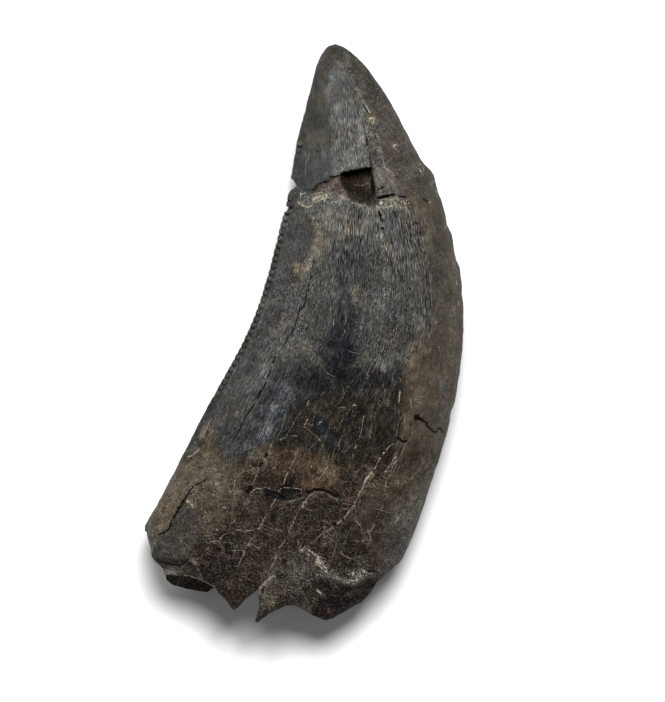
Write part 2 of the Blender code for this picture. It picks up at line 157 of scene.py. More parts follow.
# Relief of the upper face: outline, depth, and the width of its sloping side
HOLE = ((3.65, 16.0), (6.7, 16.55), (7.15, 13.85), (6.7, 12.7), (5.3, 13.25), (4.1, 14.3),
        (3.55, 15.25))
BARE_TIP = ((3.9, 28.4), (4.55, 26.25), (5.15, 22.75), (6.25, 19.95), (6.55, 18.0),
            (6.75, 16.55), (7.2, 14.9), (12.8, 14.4), (14.5, 15.5), (9.5, 25.0))
STRIP_LEFT = ((-1.0, 14.7), (0.9, 14.3), (2.55, 15.3), (3.55, 15.75), (4.3, 14.2), (5.3, 13.2),
              (4.1, 13.0), (3.15, 13.7), (2.25, 13.7), (1.2, 13.25), (0.25, 12.55), (-1.0, 13.25))
LOBE = ((0.0, -27.8), (0.0, -26.5), (0.8, -25.5), (1.4, -24.7), (2.1, -23.9), (3.3, -24.4),
        (4.0, -24.9), (4.9, -25.1), (5.7, -24.6), (6.4, -24.1), (7.3, -24.7), (7.8, -26.5),
        (5.0, -29.5), (0.5, -29.5))
LEDGE = ((-15.6, -22.3), (-14.4, -22.85), (-13.1, -23.2), (-12.4, -23.2), (-11.75, -22.7),
         (-11.3, -22.5), (-10.6, -23.5), (-10.0, -24.5), (-10.6, -25.4), (-14.4, -25.2))
MID_PIT = ((-2.7, -15.4), (-0.1, -15.4), (-0.4, -16.5), (-1.6, -16.8), (-2.6, -16.4))
FLAKE = ((-16.0, -20.9), (-14.55, -20.2), (-13.6, -19.7), (-13.25, -18.95), (-12.65, -17.55),
         (-11.7, -16.35), (-10.75, -15.15), (-9.55, -14.4), (-11.0, -13.0), (-13.4, -13.2))
HOLE_DEPTH = 2.8
HOLE_SIDES = (0.12, 0.15, 0.30, 1.2, 1.3, 0.6, 0.3)     # width of the slope under each side
UPPER_PATCHES = (
    (BARE_TIP, 0.20, 0.14),
    (STRIP_LEFT, 0.35, 0.16),
    (LOBE, 1.9, 0.7),
    (LEDGE, 1.1, 0.45),
    (MID_PIT, 0.5, 0.3),
    (FLAKE, -0.28, 0.16),
)
LOWER_PATCHES = (
    (((3.0, -2.0), (6.5, -1.0), (8.2, 2.5), (7.4, 6.5), (4.6, 7.6), (2.6, 4.2)), 0.35, 0.4),
    (((-1.5, 13.0), (3.0, 13.4), (4.6, 14.6), (2.5, 15.6), (-1.5, 15.2)), 0.3, 0.4),
)
SLOPE_FROM = -0.15              # where a patch's side starts and ends, as shares of its width
SLOPE_TO = 0.85
GROOVE_TAPER = 0.12             # the share of a crack's length over which its end runs out
RELIEF_FADE = 0.35              # the share of a section's height at which relief is at its full
DEEPEST = 0.9                   # the most of the height over the edges that it takes away

ROOT_ROUGHNESS = 0.20
CROWN_ROUGHNESS = 0.07
ROUGHNESS_SCALE = 2.6
ROUGHNESS_STRETCH = 0.7         # along the tooth
UNEVEN_SEED = 0
ROOT_Y = (-14.0, -7.0)          # where the root passes into the crown
FINE_ROOT = 0.045               # fine roughness of the root, and of the crown
FINE_CROWN = 0.012
FINE_SCALE = 0.55
FINE_SEED = 3
SEED_STEP = (17.3, -9.1, 5.7)   # how far apart two seeds lie in the noise
FRACTAL = (0.8, 2.1)            # its fractal increment and lacunarity

# The finer grid
ROWS_PER_DENTICLE = 5
HALF_COLUMNS = 124
EDGE_CROWDING = 1.6             # how much closer columns lie at the serrated edge, and how far in
CROWDING_REACH = 1.2
END_ROWS = 14
SHARP_ANGLE = 60.0              # degrees between two faces over which their edge is sharp
SKIN_WIDTH = 26.0               # the length that the grain coordinate gives one face, edge to edge
FACES_APART = 40.0              # keeps the grain of the two faces different
OFF_EDGE = (0.0, 9.0, 0.0)      # what the edge field says on the broken end: far from any slot

WANDER = 0.04                   # how far cracks, veins and outlines stray from their routes
WANDER_SCALE = 0.7
WANDER_SEEDS = (31, 37)
LINE_REACH = 2.0                # how far from its line a line's distance is measured
LINE_BAND = 0.35                # and how far beside it its width is kept
LINE_TAPER = (-0.02, 0.06)      # shares of its length over which it widens from its end
STROKE_BEND = 0.22              # the most that a stroke turns at each bend, in radians
STROKE_PIECES = (2, 4)          # the fewest and the most straight pieces of a stroke
GROOVE_SHOULDER = 0.05          # how far a crack's groove is wider than its dark line, each side

# ---------------------------------------------------------------------------------------------
# Cracks and veins
# ---------------------------------------------------------------------------------------------
# route, half width of the line, depth of the groove
UPPER_CRACKS = placed(
    # the fracture near the tip, left and right of the hole
    (((311.5, 190.5), (315, 188), (318.5, 184.5), (322, 183), (326, 182.6),
      (328.5, 181.2)), 0.06, 0.16),
    (((329, 178.6), (331, 177.2), (334, 177.4), (337, 176.4), (340.5, 175.6)), 0.083, 0.16),
    (((376.5, 199), (379, 197.6), (382, 197.2), (387, 196.4), (391, 195.4),
      (396.5, 194.8)), 0.09, 0.3),
    (((378.4, 198.8), (382, 197.6), (388.6, 196.4)), 0.14, 0.32),
    (((397.5, 196.4), (401, 197.2), (404, 197.2), (407.5, 196.6)), 0.083, 0.15),
    (((422, 199.2), (424.5, 200.2), (426, 201.8), (428.5, 202)), 0.091, 0.15),
    (((376.5, 190.5), (380, 189), (384.5, 186.6)), 0.066, 0.08),
    # the edge of the enamel plate above the hole
    (((371.5, 167.5), (371.2, 163), (370, 157), (369, 151)), 0.055, 0.07),
    (((367.6, 146), (366.8, 139.5), (366, 136)), 0.046, 0.05),
    (((365.6, 134.6), (364.4, 128), (362.4, 122)), 0.029, 0.03),
    (((360, 118), (357.4, 112.6), (355.6, 104.6), (355, 98)), 0.031, 0.04),
    (((370, 115.6), (366.4, 110), (362.8, 102.6)), 0.036, 0.05),
    (((357.8, 83), (355.6, 78), (353.4, 74)), 0.031, 0.03),
    (((378.6, 210), (379.8, 214), (380.4, 218), (381.8, 222.5)), 0.099, 0.12),
    (((382.4, 227), (382.8, 231.5)), 0.099, 0.1),
    (((413, 221.5), (416, 223), (418, 226)), 0.066, 0.06),
    (((418, 238), (418.8, 243), (420.6, 247)), 0.058, 0.06),
    # the long split down the distal side of the crown
    (((315.9, 259.4), (314.4, 261), (313.4, 264), (312.4, 269.6)), 0.056, 0.1),
    (((311.4, 274), (310.4, 282), (308.6, 287), (308, 292.4)), 0.038, 0.08),
    (((306.6, 292.5), (305.9, 299), (304.6, 304)), 0.054, 0.1),
    (((304.6, 303.6), (303.8, 307), (301.4, 308.4)), 0.085, 0.16),
    (((300.4, 307.6), (298.6, 313), (297, 318.5)), 0.06, 0.12),
    (((296.8, 319), (295.6, 324), (294.6, 328), (292.6, 332), (290.2, 336.6)), 0.056, 0.12),
    (((289.2, 336.4), (286.4, 341.5), (283.8, 346)), 0.058, 0.11),
    (((283, 346.4), (280, 351), (277.6, 354.6)), 0.03, 0.05),
    (((276.4, 355.8), (274.2, 360.5), (272.2, 364)), 0.075, 0.12),
    (((272, 365), (270.4, 370.4), (268.6, 375.4), (266.8, 379.6)), 0.055, 0.1),
    (((266.6, 379.6), (264.8, 386), (261.6, 392), (257, 399.6)), 0.07, 0.14),
    (((256, 401.6), (253.6, 405.6), (250, 411), (246.6, 416.4), (243.7, 421.4), (240, 429),
      (236.4, 435.6)), 0.07, 0.14),
    (((235.4, 437), (231, 445), (227.4, 451)), 0.036, 0.06),
    # the edge of the tan flake at the lower left
    (((208.2, 477.4), (204, 480.6), (200.7, 482.6), (197, 484.2), (194.4, 485.4)), 0.052, 0.12),
    (((194.4, 485.4), (190.5, 490), (187.2, 495.6), (184, 501), (181.4, 505.6)), 0.066, 0.16),
    (((181.4, 505.6), (178.6, 509), (176.8, 513), (173.6, 518)), 0.085, 0.2),
    (((172.2, 521), (170.4, 526.4), (168.2, 529.6), (165.4, 532), (161.6, 533),
      (158.4, 535)), 0.075, 0.2),
    # the split across the middle of the root
    (((246.4, 493), (248.6, 490), (253.4, 486)), 0.2, 0.34),
    (((262, 489.6), (266, 488.6), (271, 490), (275, 492.4), (279.4, 492)), 0.11, 0.18),
    (((266, 492), (270, 494), (275, 496), (278, 497.5)), 0.13, 0.12),
    (((281, 488), (283, 485.6), (287.5, 484.8), (293, 486)), 0.099, 0.12),
    (((279.6, 498.4), (280.6, 496), (283.4, 496.4), (287, 499)), 0.17, 0.25),
    (((304, 489), (306.4, 491), (309.4, 492), (312.4, 490), (313.8, 488.8), (319.5, 489.2),
      (324, 489.4), (328.5, 491), (333, 493.6), (338.4, 496.6)), 0.14, 0.28),
    (((335.4, 495.4), (340.6, 494)), 0.19, 0.28),
    # the two at the mesial side
    (((415.8, 413.4), (416.4, 416.4), (418.4, 418)), 0.21, 0.35),
    (((413.2, 418.6), (416, 418.4), (421.6, 418.8)), 0.13, 0.3),
    (((417.6, 417.4), (420.4, 418.8), (423, 420.4)), 0.14, 0.3),
    (((421.4, 419.4), (424, 421.6), (427.4, 423.2)), 0.085, 0.28),
    (((425.2, 424.6), (428.4, 427), (431, 429.4)), 0.1, 0.28),
    (((430, 428.4), (432, 431), (434.4, 432), (437.4, 430.8)), 0.075, 0.26),
    (((436.2, 428.4), (439.4, 427.8), (441, 430), (443.2, 432.8)), 0.085, 0.26),
    (((395.6, 436.6), (398.4, 438), (401, 440.6)), 0.12, 0.28),
    (((400.4, 440.2), (403.6, 441.8), (407.4, 439.4)), 0.095, 0.28),
    (((408.6, 424.4), (412.4, 424)), 0.049, 0.04),
    (((404.8, 411), (406.4, 413)), 0.116, 0.06),
    (((366.6, 570.2), (370, 570.4), (373.4, 570), (376.4, 571.6)), 0.099, 0.08),
    # the dark slit beside the enamel's worn edge
    (((268.4, 450.6), (266.6, 454.6), (265.2, 457)), 0.13, 0.1),
    (((263.4, 461), (261.2, 464), (259, 467)), 0.13, 0.1),
    # the valley under the lump at the lower left, drawn dark as painted shade in its crease, and
    # the notch near the tip
    (((157, 557.6), (161, 560), (166, 562.6), (172, 563.6), (180, 565), (185.6, 561.6),
      (189.6, 557.6)), 0.065, 0.3),
    (((297, 146.4), (300, 146.6), (303, 145.4)), 0.116, 0.1),
)
# route, half width, and how cream-coloured the line is
UPPER_VEINS = placed(
    # along the enamel's worn edge, then across and down the root
    (((287, 414.4), (284.6, 418), (283.4, 423), (281.4, 429.4), (277.6, 436.6)), 0.024, 0.2),
    (((275, 439.4), (272.6, 442.4), (271, 446), (269.8, 451), (267.6, 456)), 0.033, 0.4),
    (((266, 457.6), (262.4, 463), (259.4, 468), (256.4, 475.4), (253.6, 481),
      (253.2, 485)), 0.035, 0.4),
    (((257.6, 466.6), (254, 467.4), (250, 469.6), (245, 470.6), (240, 473.4), (237, 477),
      (234.8, 481.6), (234.6, 488)), 0.028, 0.2),
    (((234, 488.6), (230.6, 491.6), (228.4, 493.6)), 0.032, 0.4),
    (((236, 490), (241, 489.6), (246, 491)), 0.024, 0.2),
    (((249.6, 496), (250.4, 493), (254, 490), (258, 487), (261.6, 488.8), (265.6, 486.4),
      (270.4, 488), (274, 491.2), (277.6, 492.6), (280, 489.4), (282.6, 486.6), (287, 486.8),
      (293, 487.2)), 0.032, 0.7),
    (((293, 487.4), (297, 487.8), (303, 489)), 0.056, 0.7),
    (((282, 501), (288, 501), (292.4, 500), (297.4, 498.6), (301, 497.4),
      (305.4, 496)), 0.025, 0.2),
    (((247.6, 496), (246, 503), (243, 509), (240, 513.4), (238.4, 517)), 0.018, 0.0),
    (((236, 517.6), (234.4, 520), (232.4, 523.6)), 0.028, 0.5),
    (((298.4, 447.6), (296.6, 453.4), (294.6, 458.6), (291.6, 464), (289, 469)), 0.025, 0.3),
    (((288.4, 470.6), (286.6, 475), (284.8, 479.6), (284, 484)), 0.042, 0.5),
    (((277.6, 494), (275.4, 499.6), (272.4, 504.4), (271, 507.4)), 0.042, 0.3),
    (((268.4, 512.4), (265.4, 516.6), (262.6, 521), (260, 526.4), (258.4, 530.4)), 0.032, 0.4),
    (((256.8, 532.4), (252, 538), (249, 542), (247, 547), (244.4, 552.4), (241.8, 558.4),
      (239.4, 563.4), (236.8, 567.6)), 0.028, 0.4),
    (((279.4, 439.6), (283, 438.4), (286, 436.6)), 0.028, 0.2),
    (((291.6, 435.2), (295, 435.4), (298.8, 436)), 0.035, 0.8),
    (((316.6, 434.6), (314, 440.6), (311.6, 446), (309, 452), (306.4, 458)), 0.017, 0.0),
    (((323.4, 440), (321, 446.4), (318.6, 452), (317.6, 457)), 0.015, 0.0),
    (((303, 425.4), (308, 428.6), (312.4, 433), (318.4, 436.6), (321.4, 443),
      (324, 449.4)), 0.03, 0.0),
    (((333, 417), (329.4, 424), (326.6, 431.4), (323.4, 439)), 0.017, 0.0),
    (((329.6, 452.6), (327.4, 459), (325.4, 464.6)), 0.025, 0.3),
    (((322.4, 473.4), (320.4, 477), (318.4, 480.4)), 0.035, 0.5),
    (((330, 471), (331, 474.6)), 0.035, 0.5),
    (((331, 476), (330.6, 481), (330.4, 486)), 0.021, 0.1),
    (((313, 487), (312.6, 481), (313, 475.6), (316.4, 472.4), (321, 471.4)), 0.021, 0.1),
    (((311.6, 464), (311.4, 468.6)), 0.035, 0.3),
    (((340, 444), (339.6, 450)), 0.028, 0.1),
    (((312.4, 492), (309.6, 495.4), (306.6, 499.6)), 0.039, 0.3),
    (((307.4, 499), (306.4, 503.6), (304.4, 509)), 0.025, 0.2),
    (((304.4, 500), (300.8, 507), (297.6, 512.4), (295.4, 517.6), (292.6, 524), (289, 530.6),
      (288.4, 533.4)), 0.028, 0.4),
    (((286.4, 537), (284, 541.4), (280.4, 545.4), (278, 550)), 0.029, 0.4),
    (((276.6, 553.4), (275.4, 559.4), (272.4, 564.4), (270, 569.4), (268, 575)), 0.029, 0.4),
    (((276.4, 574.4), (272, 576.6), (266.8, 580), (263, 584), (259.8, 588.4)), 0.107, 0.4),
    (((259.8, 588), (258.8, 592), (260, 597)), 0.123, 0.4),
    (((313.6, 491), (320, 491), (327.4, 492.8), (333, 496.6), (337, 500), (340, 504)), 0.021, 0.1),
    (((340.6, 506.4), (343, 507.6), (346.6, 510.8)), 0.035, 0.6),
    # the thin streaks of the dark region, and the broad vein down to the right
    (((364.4, 414), (362.6, 421), (361.8, 428.4), (360.2, 434.6), (358, 440.4)), 0.025, 0.3),
    (((356.6, 443.6), (354.6, 448.6)), 0.048, 0.5),
    (((353.6, 452.6), (352, 458.6)), 0.039, 0.4),
    (((350.6, 462), (348.6, 469)), 0.018, 0.1),
    (((373, 404), (371.8, 412), (370.8, 420)), 0.021, 0.1),
    (((372, 424), (370.4, 432.6), (369.6, 439)), 0.018, 0.1),
    (((399.4, 389.6), (399, 395), (398.4, 404)), 0.042, 0.9),
    (((399.6, 377), (400.4, 383)), 0.028, 0.5),
    (((398.6, 408), (398.4, 417)), 0.021, 0.3),
    (((409.4, 398.4), (410.6, 403), (411, 408)), 0.042, 0.4),
    (((411, 385), (412.6, 390)), 0.028, 0.2),
    (((404.8, 412), (404.6, 418), (403, 424)), 0.025, 0.2),
    (((398, 423), (396.6, 430), (395.4, 436)), 0.021, 0.3),
    (((393.4, 442.6), (389.4, 446), (385, 450)), 0.032, 0.9),
    (((384.6, 450.6), (381.4, 454.4)), 0.056, 0.9),
    (((380.4, 456.6), (378, 461), (375.6, 465.4), (373.4, 469.4)), 0.029, 0.9),
    (((372, 470), (370, 473.4), (366.6, 477.6), (364.2, 482)), 0.098, 0.6),
    (((372.6, 472.4), (373.2, 477.4)), 0.042, 0.5),
    (((364.6, 482), (362.6, 486.6), (359, 493), (357.4, 497.6)), 0.056, 0.6),
    (((356.8, 498.6), (353.6, 503.6), (350.4, 508), (347.4, 513), (343.6, 518.4)), 0.042, 0.5),
    (((342.4, 519), (338, 522), (336.6, 524)), 0.06, 0.4),
    (((334.6, 525), (331.4, 527.6), (329.6, 531.6), (326.6, 535.6), (322, 540)), 0.028, 0.3),
    (((330.6, 527), (326, 531), (320.6, 534.6), (316, 539), (310.6, 543)), 0.035, 0.3),
    (((306.6, 545), (302.6, 547.6), (298.4, 550.4)), 0.042, 0.5),
    (((301, 548.4), (304.6, 549.4)), 0.048, 0.9),
    # right of it
    (((396.4, 454.6), (393, 459), (390.6, 464), (387, 468.4), (383.4, 473)), 0.042, 0.3),
    (((398.6, 457), (396, 462), (394.6, 468), (392.6, 472), (387, 478.4)), 0.024, 0.3),
    (((405.8, 442.6), (403.4, 449), (400, 456)), 0.035, 0.2),
    (((386.4, 479), (385.6, 485), (384, 491), (382.6, 497.4)), 0.028, 0.4),
    (((388.4, 486), (386.6, 492), (385.2, 499)), 0.018, 0.2),
    (((391, 494), (389.6, 500)), 0.021, 0.1),
    (((383.4, 502), (381.8, 508), (378.4, 513.4), (376.4, 518)), 0.025, 0.3),
    (((375.6, 521), (373.4, 526.4), (370, 530.6), (367, 533)), 0.028, 0.4),
    (((369.4, 533), (370.4, 538), (369.4, 544)), 0.025, 0.3),
    (((354.6, 519.4), (357.4, 521.4), (360.6, 526), (362.6, 530.4)), 0.035, 0.3),
    (((362.4, 534), (366, 531.4), (368.4, 529)), 0.021, 0.2),
    (((355, 505), (355.4, 510), (358.4, 513)), 0.025, 0.3),
    (((366.4, 509), (364.6, 512)), 0.048, 0.2),
    (((384.6, 517.2), (390, 517.6)), 0.025, 0.2),
    (((421, 466.4), (417.4, 470.4), (413.6, 474.6), (411.6, 478), (406.4, 480.4)), 0.028, 0.3),
    (((422.6, 456), (421.4, 462)), 0.025, 0.2),
    (((418, 396.6), (423, 396.4), (427.4, 393), (430.8, 389.4)), 0.022, 0.2),
    (((438.6, 384), (443, 379.4), (448, 375.6)), 0.02, 0.2),
    (((428.4, 270), (430.2, 283), (431.2, 297)), 0.018, 0.3),
    (((456.6, 268), (457.2, 273)), 0.04, 0.6),
    (((456.4, 280), (457, 287)), 0.035, 0.5),
    (((458.4, 301), (458.8, 306)), 0.04, 0.5),
    (((445.4, 226), (446, 229)), 0.035, 0.5),
    (((429, 333), (428.6, 339.6)), 0.028, 0.3),
    (((438.8, 346), (438.4, 352)), 0.024, 0.3),
    # left side of the root
    (((229, 449.6), (222, 453), (215.4, 458.6), (209, 464), (203.4, 470),
      (198, 477.6)), 0.017, 0.1),
    (((209.4, 540.8), (214, 540.4), (219, 538.6), (224, 534), (230, 531.8)), 0.035, 0.3),
    (((235, 529.4), (239, 529.2), (244, 530.8), (249, 529.6), (255, 530)), 0.029, 0.5),
    (((199.6, 536), (205, 535), (210.6, 534.4)), 0.032, 0.1),
    (((214, 544), (219, 541.4), (223, 538)), 0.021, 0.1),
    (((262.4, 523), (270, 527), (277, 528.6), (285, 532)), 0.02, 0.1),
    (((264, 532), (270, 534.6), (277.4, 535.6)), 0.02, 0.2),
    (((250.4, 542.6), (255, 544.8), (259, 547.4), (263.4, 546)), 0.025, 0.4),
    (((229, 549.6), (237, 549.4), (247, 549.4)), 0.018, 0.2),
    (((298.4, 537), (298.8, 541), (297.6, 546)), 0.025, 0.5),
    (((285, 524), (281, 520), (276, 516.6)), 0.015, 0.0),
    (((242, 500.4), (247, 502), (252, 501)), 0.021, 0.1),
    (((340.6, 552), (345, 555), (350, 557.6), (356.4, 558.4)), 0.032, 0.3),
    (((358, 556.4), (359.6, 555.6)), 0.07, 0.8),
    (((328, 542.4), (322, 542.6)), 0.02, 0.2),
    (((182.6, 574.8), (188, 575), (194, 576.8), (200, 578.6), (206, 581.6), (211, 583.4),
      (217, 587)), 0.029, 0.5),
    (((168, 580), (171.6, 577.6), (177, 573.6)), 0.056, 0.4),
    (((180, 567.4), (185, 564.8), (190.4, 560)), 0.032, 0.2),
    (((194, 558), (195, 562)), 0.07, 0.6),
    (((198, 566.4), (200, 570.4), (202.6, 577)), 0.035, 0.4),
    (((187.4, 457), (191, 456), (193.4, 453.8), (197, 451.6), (200, 448)), 0.039, 0.7),
    (((194.6, 444), (195.6, 441.4)), 0.042, 0.4),
    (((202.4, 438.4), (204.6, 433.4), (207.4, 428), (209.4, 421.4), (213, 418.8)), 0.042, 0.5),
    (((215.8, 482), (217, 484.6), (219, 484.8)), 0.042, 0.6),
    (((221, 504.6), (224, 507), (228, 507.6)), 0.032, 0.3),
    (((186.6, 500.6), (188.4, 500.4)), 0.098, 1.0),
    (((190, 501), (191.4, 503.4), (189.4, 505.4), (194, 504)), 0.035, 0.9),
    (((215.6, 526.4), (217, 528), (218.4, 531)), 0.035, 0.6),
    (((186.4, 553.4), (190, 553.6)), 0.028, 0.3),
    # small marks of the crown
    (((337, 407.4), (342, 407), (347.4, 407.4)), 0.021, 0.4),
    (((352.6, 404.6), (356.6, 404.8)), 0.039, 0.9),
    (((308.6, 417.6), (306.6, 421), (305, 423.6)), 0.028, 0.5),
    (((304.6, 423.6), (305.4, 424)), 0.048, 0.9),
    (((308, 424.6), (314, 424.4)), 0.015, 0.2),
    (((317.6, 422.4), (320, 422), (322.8, 420.8)), 0.029, 0.8),
    (((306.6, 406), (308, 402.6), (309.8, 400)), 0.035, 0.5),
    (((321.4, 363), (322.6, 367), (325.4, 371.4), (330, 375), (336.6, 377)), 0.022, 0.2),
    (((320.6, 363), (321.8, 366)), 0.056, 0.6),
    (((321, 344.6), (325, 347.6), (328, 350.6), (334, 354.4), (339.6, 358.4)), 0.014, 0.1),
    (((346, 350), (352, 352.4), (357, 353.6), (362, 353)), 0.017, 0.2),
    (((350.6, 362.4), (353, 366), (358, 367), (362.4, 364.6)), 0.015, 0.2),
    (((345.6, 311), (346.2, 318), (344.6, 326)), 0.02, 0.6),
    (((344.6, 329), (344.4, 333.6)), 0.025, 0.9),
    (((333.6, 319), (333.4, 326)), 0.028, 0.6),
    (((345, 270), (345.4, 282), (345.6, 296), (346, 308)), 0.014, 0.4),
    (((337.6, 304), (335.6, 312), (334, 317)), 0.014, 0.3),
    (((305.4, 152), (305.8, 164), (305.2, 181)), 0.017, 0.3),
    (((310.6, 152), (308, 157), (307.4, 163)), 0.018, 0.3),
    (((292.4, 283), (292, 287)), 0.021, 0.4),
    (((235, 417), (238, 410), (242, 403)), 0.018, 0.1),
    # the tan line down the mesial side of the tip
    (((349.4, 69.6), (351, 71.6)), 0.048, 0.8),
    (((352, 73), (354.6, 77), (356.4, 81.4)), 0.028, 0.4),
    (((354.2, 88), (355.4, 90)), 0.048, 0.8),
    (((357.4, 86), (358.4, 91), (359.4, 95)), 0.024, 0.3),
    (((361.6, 97.6), (363.4, 101)), 0.042, 0.8),
    (((362, 98.6), (364, 102), (366.6, 106.4), (368.4, 110), (370.4, 114)), 0.042, 0.7),
    (((370, 118.6), (372, 117), (374, 118.6), (373.6, 121.6), (371.8, 123),
      (373.4, 125)), 0.048, 1.0),
    (((375.4, 132), (377.6, 137), (379.6, 141.4)), 0.032, 0.5),
    (((380, 147), (381.6, 154), (383, 161), (384.8, 167)), 0.028, 0.4),
    (((384.4, 167.6), (387, 170.4), (391.6, 171.6)), 0.032, 0.5),
    (((391.6, 171.6), (394, 177), (395.6, 182)), 0.024, 0.3),
    (((396, 184), (397.2, 185.6)), 0.048, 0.6),
    (((386, 171.4), (386.4, 176)), 0.021, 0.3),
    (((392.6, 147), (395, 145), (397.4, 144.6)), 0.09, 0.5),
    (((399, 144.4), (405, 143.5), (411, 144)), 0.015, 0.1),
    (((377.6, 98), (378, 95.6)), 0.035, 0.5),
    (((418, 164.6), (421, 164)), 0.035, 0.4),
    (((419.8, 168), (420.4, 171), (421.2, 173.4)), 0.056, 0.6),
    (((422, 166), (424.2, 170), (423.8, 174), (422, 176.4)), 0.025, 0.4),
    # the cream-coloured rim of the fracture
    (((297.4, 200.6), (299.4, 203.6), (302.6, 204.8), (305, 206.6), (308.4, 207.2),
      (311.4, 205.4), (313.6, 202.8)), 0.095, 0.9),
    (((313.4, 202.8), (319, 201), (325, 199), (332, 198)), 0.035, 0.8),
    (((299.8, 193), (301.6, 194.4), (305.6, 193)), 0.06, 0.9),
    (((300.6, 196), (301, 200), (302.4, 202.6)), 0.024, 0.6),
    (((304.4, 195.6), (305, 199), (304.4, 203)), 0.024, 0.6),
    (((309.6, 195), (308, 198.4), (309, 203.4)), 0.024, 0.7),
    (((312.4, 193.4), (318, 193.4), (323.6, 192.6)), 0.028, 0.8),
    (((337, 196), (338.4, 200), (336.8, 203)), 0.025, 0.8),
    (((340.4, 195), (342.6, 198.4), (340.4, 201.6), (342.6, 205)), 0.032, 0.9),
    (((345, 194.6), (345.6, 198), (349.4, 200.4)), 0.028, 0.7),
    (((350, 202.6), (356, 204.4), (363, 205.6), (370, 207.4)), 0.028, 0.7),
    (((379, 203), (381, 200), (385.4, 199), (389, 200.6), (387, 203), (382, 204)), 0.025, 0.6),
    (((392, 201.6), (393, 199), (396.4, 198.2), (399, 200), (397, 202.4),
      (393.6, 202.4)), 0.032, 0.8),
    (((376.6, 207.4), (380, 208), (384, 207.6), (392, 207)), 0.039, 0.8),
    (((398.4, 206.6), (402, 208), (403.6, 210.4)), 0.032, 0.7),
    (((405, 206.8), (408, 209.6)), 0.035, 0.6),
    (((428, 202.4), (430.6, 202.6)), 0.063, 1.0),
    (((411.8, 220.6), (412.8, 221.2)), 0.048, 0.7),
    (((415.2, 221.4), (416, 222)), 0.048, 0.9),
    (((418.2, 229), (419, 233)), 0.056, 0.8),
    (((419.6, 218.6), (420.6, 219.4)), 0.048, 0.6),
    # the white flake on the lobe, and the faint ridge in the hole
    (((315.8, 588.3), (318.6, 591), (321.7, 593.7)), 0.075, 1.0),
    (((352, 184), (357, 185.4), (362, 185.6), (367.4, 183.4), (370.8, 178)), 0.028, 0.0),
)
ENCRUSTATION = from_picture((310, 551.5), (317, 556.6), (321.8, 562.5),
                            (325.3, 570.8), (331.2, 575.5), (340.7, 579), (352.4, 582.6),
                            (358, 578), (362, 573), (368, 571.5))

# ---------------------------------------------------------------------------------------------
# Colours, as 8-bit sRGB, and where each lies
# ---------------------------------------------------------------------------------------------
ROOT_BROWN = (51, 42, 35)
ENAMEL_GREY = (79, 78, 74)
# the pale plate of the tip, with a painted sheen in it
PALE_PLATE_AND_SHEEN = (103, 103, 99)
BARE_DENTINE = (78, 73, 67)
MESIAL_BROWN = (84, 75, 65)
UMBER = (66, 54, 42)
DARK_UMBER = (43, 38, 31)
OLIVE_BROWN = (79, 71, 59)
FLAKE_TAN = (93, 84, 69)
CREAM = (176, 170, 151)

